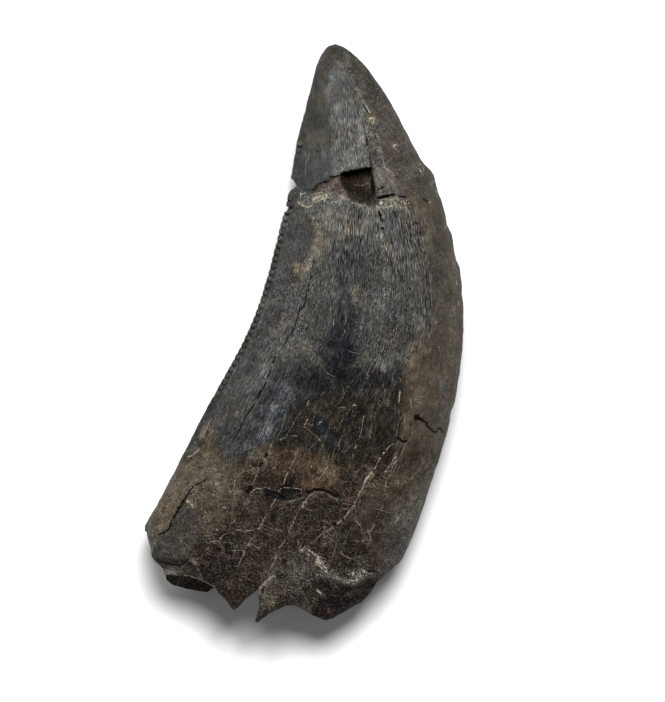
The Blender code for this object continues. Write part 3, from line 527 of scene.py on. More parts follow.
# outline, colour, width of the soft edge, strength, contrast of the fine markings
UPPER_ZONES = placed(
    # the mesial side of the crown, smooth and brown
    (((404, 190), (417, 222), (423, 252), (430, 290), (429, 326), (416, 350), (404, 372),
      (401, 395), (403, 412), (399, 437), (386, 458), (376, 480), (362, 506), (356, 530),
      (380, 560), (480, 560), (490, 200)), MESIAL_BROWN, 0.35, 1.0, 0.56),
    # the enamel of the crown
    (((140, 462), (196, 452), (208, 430), (219, 446), (232, 462), (252, 450), (272, 444),
      (285, 430), (298, 404), (330, 392), (365, 396), (400, 391), (404, 370), (414, 350),
      (428, 328), (430, 292), (424, 256), (417, 222), (405, 200), (480, 190), (480, 0),
      (200, 0)), ENAMEL_GREY, 0.35, 1.0, 1.0),
    (((254, 368), (300, 364), (312, 378), (306, 396), (295, 414), (285, 433), (262, 446),
      (232, 462), (222, 450), (232, 436), (252, 404)), (49, 52, 54), 0.8, 0.95, 1.35),
    (((190, 452), (184, 440), (206, 392), (222, 396), (212, 418), (200, 440)),
      (52, 50, 44), 0.4, 0.9, 0.7),
    (((289, 226), (309, 224), (312, 240), (304, 254), (290, 262), (276, 268), (280, 246)),
      (66, 69, 67), 0.5, 0.8, 0.6),
    # brown and black under the enamel's worn edge
    (((298, 404), (330, 390), (365, 394), (400, 391), (403, 410), (397, 436), (378, 456),
      (350, 462), (312, 452), (284, 442), (292, 420)), DARK_UMBER, 0.45, 0.97, 1.05),
    (((334, 306), (346, 300), (354, 318), (358, 345), (358, 372), (346, 382), (333, 377),
      (323, 366), (320, 352), (327, 336)), (38, 41, 46), 0.7, 0.95, 1.0),
    (((322, 345), (333, 341), (347, 345), (356, 352), (351, 366), (347, 378), (335, 378),
      (325, 369)), (25, 28, 32), 0.22, 0.9, 0.9),
    (((346, 364), (400, 362), (401, 392), (378, 397), (350, 392)), (40, 39, 38), 0.6, 0.92, 0.95),
    (((344, 425), (346, 415), (350, 410.5), (361, 408), (365, 411), (356, 416), (351, 421),
      (348, 426)), (22, 20, 18), 0.15, 0.9, 0.8),
    (((350, 441), (353, 431), (361, 426), (362, 431), (356, 439)), (26, 23, 20), 0.2, 0.85, 0.8),
    (((310, 417), (322, 413), (332, 424), (341, 440), (341, 453), (331, 456), (320, 440),
      (312, 428)), (30, 34, 35), 0.2, 0.92, 0.8),
    (((268, 450), (290, 446), (334, 451), (348, 462), (345, 486), (330, 490), (300, 486),
      (262, 484)), UMBER, 0.7, 0.92, 1.2),
    (((279, 489), (284, 486.4), (297, 487.4), (303, 489.6), (298, 496), (291, 500),
      (283, 500.4), (278, 496)), (24, 24, 23), 0.08, 0.95, 0.9),
    (((382, 455), (393, 444), (396.5, 451), (391, 463), (384, 470), (377, 477), (372.5, 474),
      (378, 466)), (37, 31, 25), 0.18, 0.92, 0.8),
    # the left side of the root
    (((150, 460), (196, 452), (206, 440), (219, 446), (232, 463), (252, 466), (246, 484),
      (240, 500), (224, 530), (196, 540), (150, 540)), OLIVE_BROWN, 0.6, 0.95, 0.8),
    (((182, 466), (197, 470), (200, 480), (188, 490), (176, 484)), (82, 74, 67), 0.5, 0.8, 0.6),
    (((196, 490), (208, 486), (226, 500), (222, 524), (206, 520), (200, 500)),
      (84, 75, 66), 0.6, 0.7, 0.9),
    (((176, 506), (196, 503), (202, 514), (204, 536), (188, 545), (160, 545), (170, 524)),
      (67, 62, 57), 0.4, 0.9, 0.7),
    (((150, 534), (188, 533), (194, 550), (184, 566), (150, 560)), (63, 60, 55), 0.4, 0.95, 0.6),
    # the right side of the root
    (((374, 472), (400, 447), (418, 446), (440, 440), (455, 450), (440, 490), (410, 512),
      (385, 530), (374, 530), (382, 488)), (70, 61, 50), 0.6, 0.85, 1.1),
    (((400, 505), (425, 484), (440, 490), (400, 575), (384, 572), (380, 548), (386, 522)),
      (82, 77, 71), 0.6, 0.95, 0.95),
    (((278, 578), (292, 556), (304, 548), (316, 562), (322, 580), (312, 598), (288, 598)),
      (68, 65, 56), 0.4, 0.9, 1.6),
    # the tip; its pale plate is partly its own pale enamel and partly a painted sheen
    (((318, 60), (328, 72), (331, 120), (333, 158), (296, 166), (290, 120)),
      (80, 78, 72), 0.5, 0.9, 0.42),
    (((327, 76), (340, 62), (353, 78), (356, 107), (365.5, 132), (371.5, 167), (340, 175),
      (334, 170), (331, 130)), PALE_PLATE_AND_SHEEN, 0.4, 0.95, 0.95),
    (((280, 154), (332, 152), (340, 173), (318, 186), (280, 190)), (77, 79, 78), 0.35, 0.95, 0.45),
    (((349, 40), (349, 69), (356.4, 82.4), (362, 98), (369.8, 112.5), (374, 126), (377.6, 135),
      (381, 149), (382, 160.5), (385.4, 168.3), (393, 173), (397, 185), (399, 198), (470, 204),
      (470, 30)), BARE_DENTINE, 0.1, 1.0, 0.52),
    (((350, 50), (362, 60), (376, 82), (384, 104), (370, 106), (358, 84), (350, 68)),
      (70, 67, 61), 0.5, 0.8, 0.8),
    (((356, 80), (362, 98), (371, 117), (377.6, 135), (382, 160), (385, 168), (372.5, 168),
      (366.5, 135), (357.5, 107)), (82, 81, 74), 0.12, 0.85, 1.1),
    (((373, 166), (385.4, 168), (393, 173), (397, 186), (399, 196), (378, 199)),
      (99, 93, 88), 0.12, 0.95, 0.6),
    (((308, 192), (314, 189), (320, 184), (330, 181), (339, 176), (344, 188), (353, 199),
      (345, 200), (334, 194), (318, 194)), (98, 88, 82), 0.12, 0.95, 0.9),
    # the worn enamel under the fracture
    (((312, 206), (330, 200), (352, 203), (377, 208), (410, 206), (413, 214), (400, 226),
      (360, 236), (338, 228), (312, 222)), (98, 95, 88), 0.7, 0.85, 1.35),
) + (
    (HOLE, (52, 42, 30), 0.1, 1.0, 0.8),
    # the lobe, deep brown and painted darker for the shade it lies in, the spikes and the ledge of
    # the broken edge
) + placed(
    (((303, 612), (303, 600), (312, 590), (318, 582), (325, 576), (337, 580), (344, 584),
      (353, 587), (361, 582), (368, 578), (380, 582), (384, 600), (350, 640), (300, 640)),
      (35, 26, 20), 0.25, 0.95, 1.2),
    (((150, 556), (160, 561), (173, 565), (180, 565), (187, 560), (192, 559), (198, 568),
      (206, 580), (196, 600), (150, 600)), (60, 57, 50), 0.2, 0.9, 0.9),
    (((196, 552), (236, 556), (252, 580), (240, 618), (212, 592), (200, 570)),
      (40, 31, 24), 0.6, 0.9, 1.4),
) + (
    (FLAKE, FLAKE_TAN, 0.15, 0.95, 0.8),
)
# The hues of the spots, markings and painted shade and sheen alike, as red, green and blue shares
# of the brightness
SLATE = (0.95, 1.0, 1.04)
GREY = (1.01, 1.0, 0.95)
DUN = (1.07, 1.0, 0.88)
BROWN = (1.13, 1.0, 0.80)
RUSSET = (1.27, 1.0, 0.76)

# centre x and y and half axes in pixels, tilt in degrees, hue, 8-bit brightness, strength
UPPER_SPOTS = (
    # the tip: (332, 50) is its own brown painted paler against the shade on the apex's slopes, and
    # the pale grey spots of its plate, from x 330 to 362 and y 90 to 165, are partly its own pale
    # colour and partly a painted sheen
    (332, 50, 7, 4.5, 0, BROWN, 70, 0.85), (336, 45.5, 11, 2.4, 0, GREY, 60, 0.6),
    (335, 57, 6, 3, 0, BROWN, 82, 0.7), (332, 62, 8, 3.5, 0, DUN, 94, 0.6),
    (344, 64, 6, 9, -20, DUN, 112, 0.75), (322, 67, 5, 6, 0, BROWN, 76, 0.7),
    (317, 74, 4, 5, 0, BROWN, 60, 0.6), (325, 80, 8, 4, 0, GREY, 60, 0.7),
    (315, 84, 3, 9, 12, GREY, 45, 0.8), (308, 104, 3.5, 18, 14, GREY, 55, 0.7),
    (322, 98, 7, 13, 0, DUN, 82, 0.6), (331.5, 92, 2.8, 9, 0, GREY, 112, 0.7),
    (336, 108, 3.4, 11, 0, GREY, 126, 0.8), (346, 88, 9, 8, 0, GREY, 94, 0.5),
    (314, 118, 8, 12, 5, GREY, 60, 0.7), (328, 118, 4, 12, 0, GREY, 70, 0.6),
    (303, 136.5, 2.8, 2.8, 0, BROWN, 40, 0.8), (318, 144, 13, 10, 0, DUN, 94, 0.7),
    (351, 100, 5, 10, 0, GREY, 106, 0.6), (359, 137, 6, 20, -6, GREY, 126, 0.85),
    (354, 137, 3, 9, -5, SLATE, 76, 0.7), (340, 140, 4, 16, 0, GREY, 106, 0.5),
    (357, 157, 11, 7, 0, GREY, 118, 0.6), (360, 164, 10, 3, 8, GREY, 100, 0.5),
    (366, 84, 8, 9, 0, DUN, 60, 0.6), (388, 100, 4, 26, 29, GREY, 65, 0.6),
    (371, 117, 5, 7, 0, BROWN, 94, 0.55), (372, 121, 3, 4.2, 0, BROWN, 142, 0.75),
    (298, 143, 3.2, 1.6, -10, GREY, 142, 0.7), (367, 118, 4, 20, -10, GREY, 82, 0.4),
    (302, 166, 7, 16, 0, SLATE, 65, 0.5), (307, 184, 10, 6, 0, SLATE, 88, 0.75),
    (395, 146, 3, 2.4, 0, DUN, 142, 0.5), (409, 180, 10, 14, 0, DUN, 82, 0.5),
    (426, 190, 6, 12, -30, DUN, 76, 0.6),
    # the hole: its own dark brown, with painted shade darkest under its top edge and at its left
    (357, 178, 12, 5.5, 12, RUSSET, 45, 0.9), (345, 177, 5, 3, 14, RUSSET, 28, 0.9),
    (358, 171.6, 14, 2.6, 11, RUSSET, 20, 0.9), (347, 188, 6, 5, -30, RUSSET, 28, 0.85),
    (350, 191, 2.4, 2, 0, RUSSET, 8, 0.8), (360, 191, 6, 4, 0, RUSSET, 32, 0.8),
    (368, 182, 4, 6, 0, BROWN, 70, 0.7), (369, 197, 5, 6, 0, BROWN, 45, 0.8),
    (354, 198, 8, 4, -38, BROWN, 50, 0.8), (365, 202.6, 8, 3.4, -18, BROWN, 40, 0.85),
    (374, 204, 4, 3, 0, BROWN, 50, 0.7),
    # the fracture
    (326, 188, 12, 6, 20, DUN, 94, 0.6), (334, 189, 5, 2, 30, RUSSET, 50, 0.7),
    (307, 198, 5.5, 5.5, 0, SLATE, 70, 0.8), (321, 197, 10, 3.4, 14, DUN, 160, 0.9),
    (341, 202, 8, 7, 0, GREY, 126, 0.75), (362, 205.6, 12, 1.8, -8, GREY, 118, 0.7),
    # the pale strip at (378, 176) is painted light on the lit right side of the hole
    (378, 176, 5, 12, 4, GREY, 112, 0.8), (386, 191, 9, 4, 5, DUN, 100, 0.6),
    (388, 201.5, 12, 3.4, 4, BROWN, 100, 0.75), (395.6, 200.4, 4, 2.2, 0, DUN, 142, 0.7),
    (384, 207.5, 10, 1.7, 0, DUN, 126, 0.7), (404, 206, 7, 5, 10, DUN, 126, 0.7),
    (413, 210, 9, 13, -15, BROWN, 82, 0.7), (421.4, 170, 3.4, 3.4, 0, DUN, 40, 0.6),
    (432.5, 182, 1.8, 2.6, 0, DUN, 126, 0.7), (436.5, 191.5, 1.8, 2.2, 0, DUN, 126, 0.7),
    # under it
    (357, 217, 6, 9, 0, SLATE, 60, 0.7), (397, 215, 6, 8, 0, SLATE, 70, 0.6),
    (372, 215, 7, 9, 0, GREY, 106, 0.5), (300, 237, 9, 11, 0, SLATE, 60, 0.75),
    (310, 214, 8, 6, 0, GREY, 94, 0.55), (314.5, 216, 2.4, 2.4, 0, GREY, 142, 0.6),
    (309, 223, 5, 3, 0, BROWN, 76, 0.6), (286, 217, 3, 8, 12, DUN, 106, 0.6),
    (281, 245, 3, 20, 12, DUN, 82, 0.5), (320, 227, 5, 8, -20, BROWN, 106, 0.75),
    (321, 236, 7, 12, 0, DUN, 112, 0.8), (318, 250, 8, 12, -12, DUN, 118, 0.85),
    (312, 258, 8, 9, -30, DUN, 112, 0.8), (300, 268, 12, 8, 20, BROWN, 112, 0.8),
    (347, 233, 6, 10, 0, BROWN, 100, 0.6), (336, 227, 7, 6, 0, DUN, 94, 0.5),
    (356, 262, 13, 17, 0, SLATE, 50, 0.8), (371, 279, 9, 12, 0, SLATE, 55, 0.5),
    (386, 250, 9, 14, 0, DUN, 94, 0.5), (407, 231, 7, 17, -4, SLATE, 76, 0.6),
    (392, 282, 8, 18, 0, GREY, 88, 0.4),
    # the middle of the crown
    (275, 283, 5, 8, 0, SLATE, 65, 0.6), (286, 292, 9, 20, -5, SLATE, 70, 0.55),
    (298, 285, 4, 14, 0, DUN, 88, 0.5), (314, 288, 5, 5, 0, GREY, 112, 0.5),
    (327, 285, 8, 12, -15, GREY, 82, 0.4), (325, 292, 3, 3, 0, GREY, 100, 0.5),
    (342, 285, 6, 22, 2, SLATE, 45, 0.8), (356, 289, 5.6, 5.4, 0, DUN, 100, 0.7),
    (355, 299, 3, 2.4, 0, BROWN, 112, 0.7), (355, 302.5, 2.8, 2, 0, DUN, 126, 0.6),
    (369, 293, 7, 6, 0, GREY, 94, 0.5), (386, 292, 9, 6, -30, GREY, 100, 0.55),
    (400, 284, 9, 8, 0, SLATE, 65, 0.5), (356, 316, 10, 10, 0, GREY, 50, 0.75),
    (340, 322, 6, 13, 0, SLATE, 45, 0.6), (374, 315, 13, 12, 0, GREY, 88, 0.5),
    (308, 318, 12, 8, 0, GREY, 76, 0.5), (323, 318, 9, 9, -20, GREY, 65, 0.6),
    (322, 340, 6, 5, 0, SLATE, 50, 0.7), (302, 340, 4.5, 4.5, 0, GREY, 106, 0.6),
    (310, 350, 4.5, 8, 0, BROWN, 88, 0.6), (318, 361, 5, 3.4, 25, BROWN, 94, 0.65),
    (305, 357, 4, 4, 0, SLATE, 60, 0.6), (326, 362, 4, 7, 10, SLATE, 24, 0.85),
    (350, 385, 20, 8, 0, SLATE, 24, 0.85), (345, 360, 10, 8, 0, SLATE, 40, 0.6),
    # the pale band at (380, 365) is a painted highlight
    (334, 351, 8, 5, 0, SLATE, 55, 0.4), (380, 365, 15, 6, -6, GREY, 112, 0.8),
    (372, 344, 2.6, 3, 0, GREY, 118, 0.5), (371, 332, 2, 5, 0, GREY, 118, 0.5),
    (386, 336, 14, 13, 0, DUN, 82, 0.6), (363, 338, 10, 9, 0, GREY, 55, 0.7),
    (390, 372, 6, 9, 0, SLATE, 45, 0.7), (360, 376, 8, 5, 0, GREY, 50, 0.5),
    (407, 340, 4, 6, 0, GREY, 55, 0.6), (414, 348, 6, 8, 0, DUN, 94, 0.7),
    (411, 362, 6, 9, 0, BROWN, 88, 0.8), (406, 376, 5, 6, 0, BROWN, 70, 0.5),
    # the distal side of the crown
    (281, 325, 9, 10, -25, DUN, 94, 0.65), (286, 318, 6, 5, 0, DUN, 88, 0.5),
    (276, 317, 6, 4, 0, DUN, 60, 0.4), (273, 336, 4, 8, 0, DUN, 94, 0.5),
    (262, 306, 4, 5, 0, BROWN, 82, 0.6), (250, 358, 8, 11, -25, SLATE, 60, 0.55),
    (244, 369, 5, 8, -25, SLATE, 60, 0.5), (265, 366, 6, 14, -25, GREY, 100, 0.6),
    (261, 381, 5, 10, -25, GREY, 100, 0.6), (238, 387, 10, 8, -30, GREY, 60, 0.5),
    (226, 379, 4, 3.4, 0, BROWN, 70, 0.5), (216, 394, 3.4, 3, 0, DUN, 88, 0.5),
    (241, 405, 9, 12, -30, DUN, 82, 0.5), (224, 407, 3.2, 2.6, 0, DUN, 112, 0.65),
    (210, 405, 5, 14, -28, DUN, 50, 0.6), (211, 430, 5, 11, -16, RUSSET, 94, 0.85),
    (205, 429, 2.6, 9, -24, DUN, 134, 0.85), (197, 438, 3, 5, -30, DUN, 45, 0.7),
    (230, 420, 17, 26, -28, GREY, 50, 0.85), (228, 415, 6, 8, -30, DUN, 65, 0.5),
    (219, 421, 4, 9, -20, DUN, 55, 0.5), (252, 405, 4, 3, 0, GREY, 94, 0.6),
    (271, 384, 6, 6, 0, SLATE, 60, 0.5), (271, 396, 9, 6, 0, SLATE, 55, 0.65),
    # the pale slate spots at (286, 384), (286, 395), (274, 408), (267, 425) and (264, 435) are a
    # painted sheen on the blade
    (286, 384, 6, 7, 0, SLATE, 94, 0.6), (286, 395, 8, 6, 0, SLATE, 88, 0.6),
    (302, 371, 5, 10, 0, GREY, 55, 0.5), (254, 418, 8, 12, -25, SLATE, 65, 0.65),
    (274, 408, 7, 7, 0, SLATE, 118, 0.75), (267, 425, 7, 7, 0, SLATE, 112, 0.7),
    (264, 435, 5.5, 6, -20, SLATE, 118, 0.7), (249, 444, 4.5, 4, 0, SLATE, 94, 0.5),
    (236, 446, 8, 6, 0, SLATE, 70, 0.5),
    # the dark lower crown
    (313, 379, 13, 20, 0, GREY, 32, 0.85), (322, 404, 18, 9, 0, DUN, 40, 0.7),
    (298, 398, 6, 4, 0, GREY, 45, 0.6), (294, 421, 8, 13, -10, GREY, 45, 0.85),
    (318, 407, 5, 8, 0, RUSSET, 55, 0.5), (331, 412, 8, 6, 0, BROWN, 55, 0.5),
    (345, 394, 8, 8, 0, SLATE, 40, 0.6), (381, 391, 7, 6, 0, RUSSET, 60, 0.6),
    (391, 397, 4, 6, 0, DUN, 36, 0.6), (388, 411, 8, 10, 0, SLATE, 40, 0.6),
    (374, 410, 6, 10, 0, BROWN, 55, 0.5), (347.4, 419, 3, 5.6, -35, BROWN, 8, 1.3),
    (359, 411.8, 5.4, 2.4, 10, BROWN, 8, 1.3), (356, 432.6, 4.6, 3.4, 40, BROWN, 12, 1.1),
    (383, 437, 7, 9, 0, BROWN, 32, 0.6), (340, 428, 7, 5, 0, RUSSET, 45, 0.5),
    (320, 425, 7, 5, 20, SLATE, 36, 0.7), (331, 443, 5.5, 14, 32, SLATE, 36, 0.7),
    (347, 441, 5, 8, 0, BROWN, 50, 0.5), (306, 435, 8, 5, -30, BROWN, 55, 0.5),
    # the umber band
    (300, 457, 13, 7, 0, RUSSET, 70, 0.7), (281, 460, 8, 8, 20, RUSSET, 55, 0.5),
    (316, 462, 11, 7, 0, RUSSET, 70, 0.6), (335, 477, 5.5, 9, -10, RUSSET, 76, 0.75),
    (307, 483, 5, 4, 0, RUSSET, 70, 0.6), (289, 481, 11, 4.4, 10, BROWN, 24, 0.85),
    (268, 479, 8, 8, 20, RUSSET, 32, 0.65), (346, 480, 5.5, 10, 0, RUSSET, 28, 0.75),
    (320, 484, 13, 9, 0, RUSSET, 76, 0.75), (358, 482, 6, 14, 10, RUSSET, 50, 0.6),
    (248, 475, 7, 8, 0, RUSSET, 40, 0.6), (264, 451, 10, 6, 30, BROWN, 94, 0.7),
    (294, 494, 6, 4, -20, SLATE, 40, 0.6), (282, 497.5, 4, 3, 0, DUN, 8, 0.9),
    (270, 494, 7, 3.4, -25, BROWN, 24, 0.8),
    # the left side of the root
    (213, 446, 9, 8, 0, BROWN, 70, 0.5), (194, 452, 6, 3, 35, DUN, 118, 0.6),
    (200, 463, 9, 9, 20, BROWN, 82, 0.6), (210, 466, 7, 8, 30, BROWN, 88, 0.5),
    (168, 486, 4, 28, -30, GREY, 82, 0.5), (187, 480, 6, 10, -20, DUN, 65, 0.65),
    (170, 500, 7, 18, -28, BROWN, 88, 0.7), (165, 510, 3.4, 7, -25, BROWN, 100, 0.55),
    (151, 530, 5, 12, 0, GREY, 94, 0.75), (157, 536, 5, 4, 0, DUN, 88, 0.6),
    (196, 500, 5, 4, 0, GREY, 100, 0.5), (188, 501, 2.8, 2, 0, GREY, 180, 0.75),
    (192, 504, 3.4, 1.8, -30, DUN, 142, 0.7), (185, 515, 10, 8, 0, GREY, 60, 0.5),
    (212, 510, 9, 10, 0, BROWN, 76, 0.6), (208, 517, 6, 4, 30, BROWN, 88, 0.5),
    (230, 505, 8, 6, 0, BROWN, 70, 0.5), (219, 476, 4.4, 4, 0, GREY, 94, 0.7),
    (236, 465, 8, 6, 0, DUN, 65, 0.5), (218, 484, 3, 1.8, -20, DUN, 126, 0.6),
    (167, 548, 14, 8, -5, GREY, 82, 0.6), (156, 549, 4.4, 6, 0, GREY, 55, 0.6),
    # (176, 560) is painted shade along the valley under the lump, (169, 575) paints the ledge's
    # slope paler, partly its own pale band and partly painted light against its shade, and (190,
    # 583) is painted shade on the face below the ledge
    (176, 560, 15, 3, -3, BROWN, 28, 0.85), (169, 575, 8, 11, -45, GREY, 160, 0.85),
    (308, 606, 5, 7, 0, DUN, 112, 0.7), (333, 603, 15, 8, -20, RUSSET, 24, 0.6),
    (172, 577, 6, 2.6, 25, DUN, 106, 0.6), (188, 571, 10, 2.6, -5, DUN, 55, 0.5),
    (190, 583, 15, 5, -8, BROWN, 28, 0.85), (206, 588, 8, 3.6, 0, DUN, 40, 0.5),
    (195, 560.5, 2.6, 2.2, 0, DUN, 134, 0.7),
    # the middle of the root
    (222, 551, 12, 10, 0, RUSSET, 36, 0.6), (236, 553, 5, 5, 0, RUSSET, 24, 0.75),
    (236, 543, 6, 4, 0, GREY, 36, 0.5), (234, 592, 9, 10, 0, RUSSET, 50, 0.5),
    (222, 594, 2.8, 3.4, 30, GREY, 20, 0.8), (234, 607, 2.2, 1.5, 0, DUN, 126, 0.6),
    (215, 574, 8, 5, 0, RUSSET, 24, 0.65), (252, 590, 5, 3, 40, GREY, 55, 0.6),
    (261, 604, 3.4, 9, -10, DUN, 76, 0.5), (275, 591, 6, 3, 30, BROWN, 82, 0.6),
    (273, 602, 3.8, 7, 0, BROWN, 94, 0.8), (280, 594, 3, 3, 30, BROWN, 126, 0.6),
    (308, 515, 28, 14, 30, BROWN, 55, 0.5), (262, 509, 18, 12, 0, BROWN, 50, 0.5),
    (273, 519, 3, 2.4, 0, RUSSET, 16, 0.75), (284, 535, 10, 8, 0, BROWN, 50, 0.5),
    (283, 559, 2.4, 1.8, 20, DUN, 126, 0.65), (298, 572, 15, 13, 0, DUN, 65, 0.6),
    (320, 580, 6, 10, 0, GREY, 45, 0.55), (310, 600, 5, 4, 0, DUN, 88, 0.5),
    (304, 606, 4.4, 3, 0, DUN, 112, 0.7), (302, 549, 4.4, 1.8, 15, DUN, 142, 0.8),
    (310, 552, 5, 2.6, -30, GREY, 112, 0.6), (321, 561, 4.4, 2.6, -30, DUN, 170, 0.9),
    (327, 564, 3, 1.8, -10, DUN, 170, 0.7), (327, 574, 3.2, 1.8, -35, GREY, 142, 0.8),
    (338, 577, 6, 2.8, -25, DUN, 142, 0.8), (346, 581, 5.4, 2, -10, DUN, 142, 0.8),
    (352, 572, 6, 4, -20, GREY, 126, 0.6), (361, 569.6, 3.4, 2.6, 0, GREY, 150, 0.8),
    (367, 573, 4, 2.4, -20, GREY, 142, 0.75), (360, 579, 5, 3, 30, DUN, 126, 0.6),
    (319, 591, 1.6, 4.4, 45, GREY, 150, 0.85), (326, 549, 10, 8, 0, BROWN, 60, 0.5),
    (346, 535, 10, 6, 0, DUN, 45, 0.5), (365, 554, 4, 5, 0, RUSSET, 24, 0.6),
    (343, 565, 14, 6, 0, BROWN, 28, 0.75), (358.5, 556, 2.6, 2, 0, DUN, 134, 0.7),
    (353, 592, 7, 1.8, 25, DUN, 82, 0.65), (331, 611, 2.6, 2.2, 0, BROWN, 94, 0.6),
    (373, 583, 4, 7, -30, DUN, 40, 0.6),
    # its right side
    (405, 428, 6, 6, 0, BROWN, 82, 0.4), (410, 456, 10, 8, 0, RUSSET, 50, 0.65),
    (436, 446, 4, 11, -15, DUN, 94, 0.6), (421, 465, 3.4, 8, -15, BROWN, 82, 0.5),
    (407, 475, 8, 5, 20, BROWN, 82, 0.6), (398, 482, 5.4, 2.8, 5, BROWN, 106, 0.75),
    (411, 478, 3, 2, 0, BROWN, 106, 0.6), (400, 491, 12, 7, 0, BROWN, 50, 0.6),
    (425, 476, 5, 12, -30, DUN, 65, 0.5), (373, 492, 8, 10, 20, BROWN, 65, 0.5),
    (388, 470, 4, 4, 0, DUN, 76, 0.5), (371, 471, 3.4, 5.4, -25, BROWN, 112, 0.85),
    (366, 484, 4, 8, -25, DUN, 82, 0.6), (351, 497, 6, 3.2, 25, RUSSET, 82, 0.7),
    (388, 515, 6, 4, 0, RUSSET, 28, 0.75), (399, 511, 6, 4, 0, DUN, 82, 0.5),
    (400, 517, 6, 4, -20, GREY, 100, 0.6), (408, 523, 3.6, 5, 0, GREY, 55, 0.5),
    (391, 531, 8, 12, 0, GREY, 65, 0.5), (402, 533, 8, 6, -20, DUN, 82, 0.5),
    (391, 546, 8, 5, 30, GREY, 45, 0.6), (402, 551, 6, 8, 0, GREY, 65, 0.5),
    (421, 505, 4, 17, -25, GREY, 70, 0.6), (376, 539, 6, 6, 0, RUSSET, 36, 0.5),
    (360, 521, 8, 6, 0, RUSSET, 40, 0.5), (454, 300, 4, 60, 0, DUN, 94, 0.65),
    (438, 285, 10, 52, -4, GREY, 70, 0.7), (445, 400, 5, 60, 6, GREY, 88, 0.5),
    (431, 345, 10, 24, 5, DUN, 76, 0.5), (428, 250, 9, 40, -8, DUN, 65, 0.5),
    # over the others: places that were still paler or darker than in the picture
    # the pale grey spots at (333, 122), (338, 138), (358, 95) and (361, 138) add to the painted
    # sheen of the tip's plate, and (341, 66) is painted paler against the shade on the apex's
    # slopes
    (308, 102, 5, 24, 14, DUN, 55, 0.7), (333, 122, 3.2, 30, 2, GREY, 118, 0.55),
    (338, 138, 6, 26, -2, GREY, 118, 0.6), (358, 95, 6, 10, -20, GREY, 106, 0.65),
    (361, 138, 6, 20, -10, GREY, 134, 0.85), (377, 158, 5, 10, 0, GREY, 100, 0.65),
    (334, 173, 12, 5, 14, GREY, 106, 0.65), (391, 223, 8, 9, 0, SLATE, 70, 0.65),
    (377, 240, 7, 9, 0, GREY, 100, 0.6), (423, 244, 7, 17, -6, DUN, 100, 0.7),
    (404, 254, 6, 8, 0, GREY, 76, 0.5), (333, 301, 12, 8, 0, SLATE, 55, 0.7),
    (405, 319, 6, 10, 0, GREY, 65, 0.6), (418, 338, 6, 12, 0, DUN, 88, 0.5),
    (391, 350, 9, 8, 0, DUN, 76, 0.5), (316, 382, 17, 12, -25, GREY, 24, 0.85),
    (347, 387, 12, 13, 0, GREY, 24, 0.8), (264, 377, 7, 12, -25, GREY, 100, 0.55),
    (281, 398, 8, 9, -30, SLATE, 60, 0.6), (406, 402, 6, 13, 0, BROWN, 50, 0.65),
    (205, 420, 8, 17, -27, DUN, 45, 0.6), (246, 413, 8, 9, -25, GREY, 88, 0.45),
    (252, 462, 12, 7, 0, BROWN, 70, 0.55), (210, 457, 7, 7, 0, BROWN, 94, 0.55),
    (339, 449, 8, 16, 0, DUN, 24, 0.75), (380, 463, 13, 9, -35, RUSSET, 28, 0.7),
    (361, 494, 7, 8, -30, BROWN, 82, 0.6), (194, 495, 12, 7, 0, DUN, 88, 0.55),
    (412, 506, 10, 26, -25, DUN, 100, 0.65), (378, 515, 9, 15, -15, BROWN, 45, 0.65),
    (225, 557, 20, 11, -8, RUSSET, 24, 0.75), (334, 543, 15, 7, 0, DUN, 70, 0.6),
    (363, 560, 10, 7, 0, DUN, 82, 0.55), (272, 574, 6, 18, -15, DUN, 70, 0.6),
    (377, 572, 6, 6, 0, DUN, 82, 0.6), (310, 593, 6, 7, 0, BROWN, 60, 0.7),
    (387, 112, 9, 17, 30, DUN, 65, 0.6), (341, 66, 11, 8, 35, GREY, 126, 0.85),
    (331, 98, 5, 13, 4, GREY, 106, 0.6), (361, 112, 6, 10, -20, GREY, 126, 0.6),
    (320, 147, 12, 8, 0, GREY, 100, 0.6), (410, 217, 7, 20, -6, DUN, 106, 0.65),
    (332, 219, 13, 18, 15, GREY, 118, 0.55), (299, 158, 7, 11, 8, SLATE, 60, 0.55),
    (386, 267, 6, 18, -4, GREY, 106, 0.7), (254, 329, 8, 11, 20, GREY, 55, 0.7),
    (375, 241, 7, 8, 0, GREY, 112, 0.6), (378, 303, 10, 9, 0, GREY, 106, 0.6),
    (312, 322, 7, 11, -10, GREY, 94, 0.6), (330, 369, 9, 6, -20, SLATE, 28, 0.75),
    (328, 350, 5, 8, 0, SLATE, 76, 0.6), (262, 371, 9, 12, 25, GREY, 106, 0.5),
    (278, 343, 7, 12, 10, GREY, 106, 0.65), (333, 578, 14, 6, -35, GREY, 126, 0.75),
    (359, 572, 11, 6, 0, GREY, 100, 0.55), (266, 592, 7, 8, 0, DUN, 82, 0.6),
    (361, 428, 7, 10, 0, DUN, 32, 0.7), (326, 469, 8, 8, 0, BROWN, 106, 0.75),
    (391, 463, 7, 8, 0, BROWN, 36, 0.6), (343, 480, 11, 7, -30, RUSSET, 36, 0.65),
    (330, 495, 8, 5, 0, BROWN, 70, 0.5), (411, 529, 8, 9, 0, GREY, 106, 0.6),
    (297, 592, 8, 6, 0, DUN, 40, 0.6), (262, 454, 13, 9, -20, DUN, 88, 0.6),
    (291, 431, 9, 10, 0, SLATE, 24, 0.75), (315, 445, 11, 6, 0, GREY, 36, 0.6),
    (375, 333, 9, 8, 0, GREY, 65, 0.55), (293, 468, 16, 8, 5, RUSSET, 40, 0.6),
    (366, 531, 30, 16, 0, BROWN, 40, 0.55), (302, 554, 8, 7, 0, DUN, 50, 0.6),
    (151, 543, 5, 10, 0, GREY, 106, 0.8), (423, 487, 7, 11, -25, DUN, 94, 0.6),
    (300, 603, 8, 5, 0, BROWN, 65, 0.6),
)
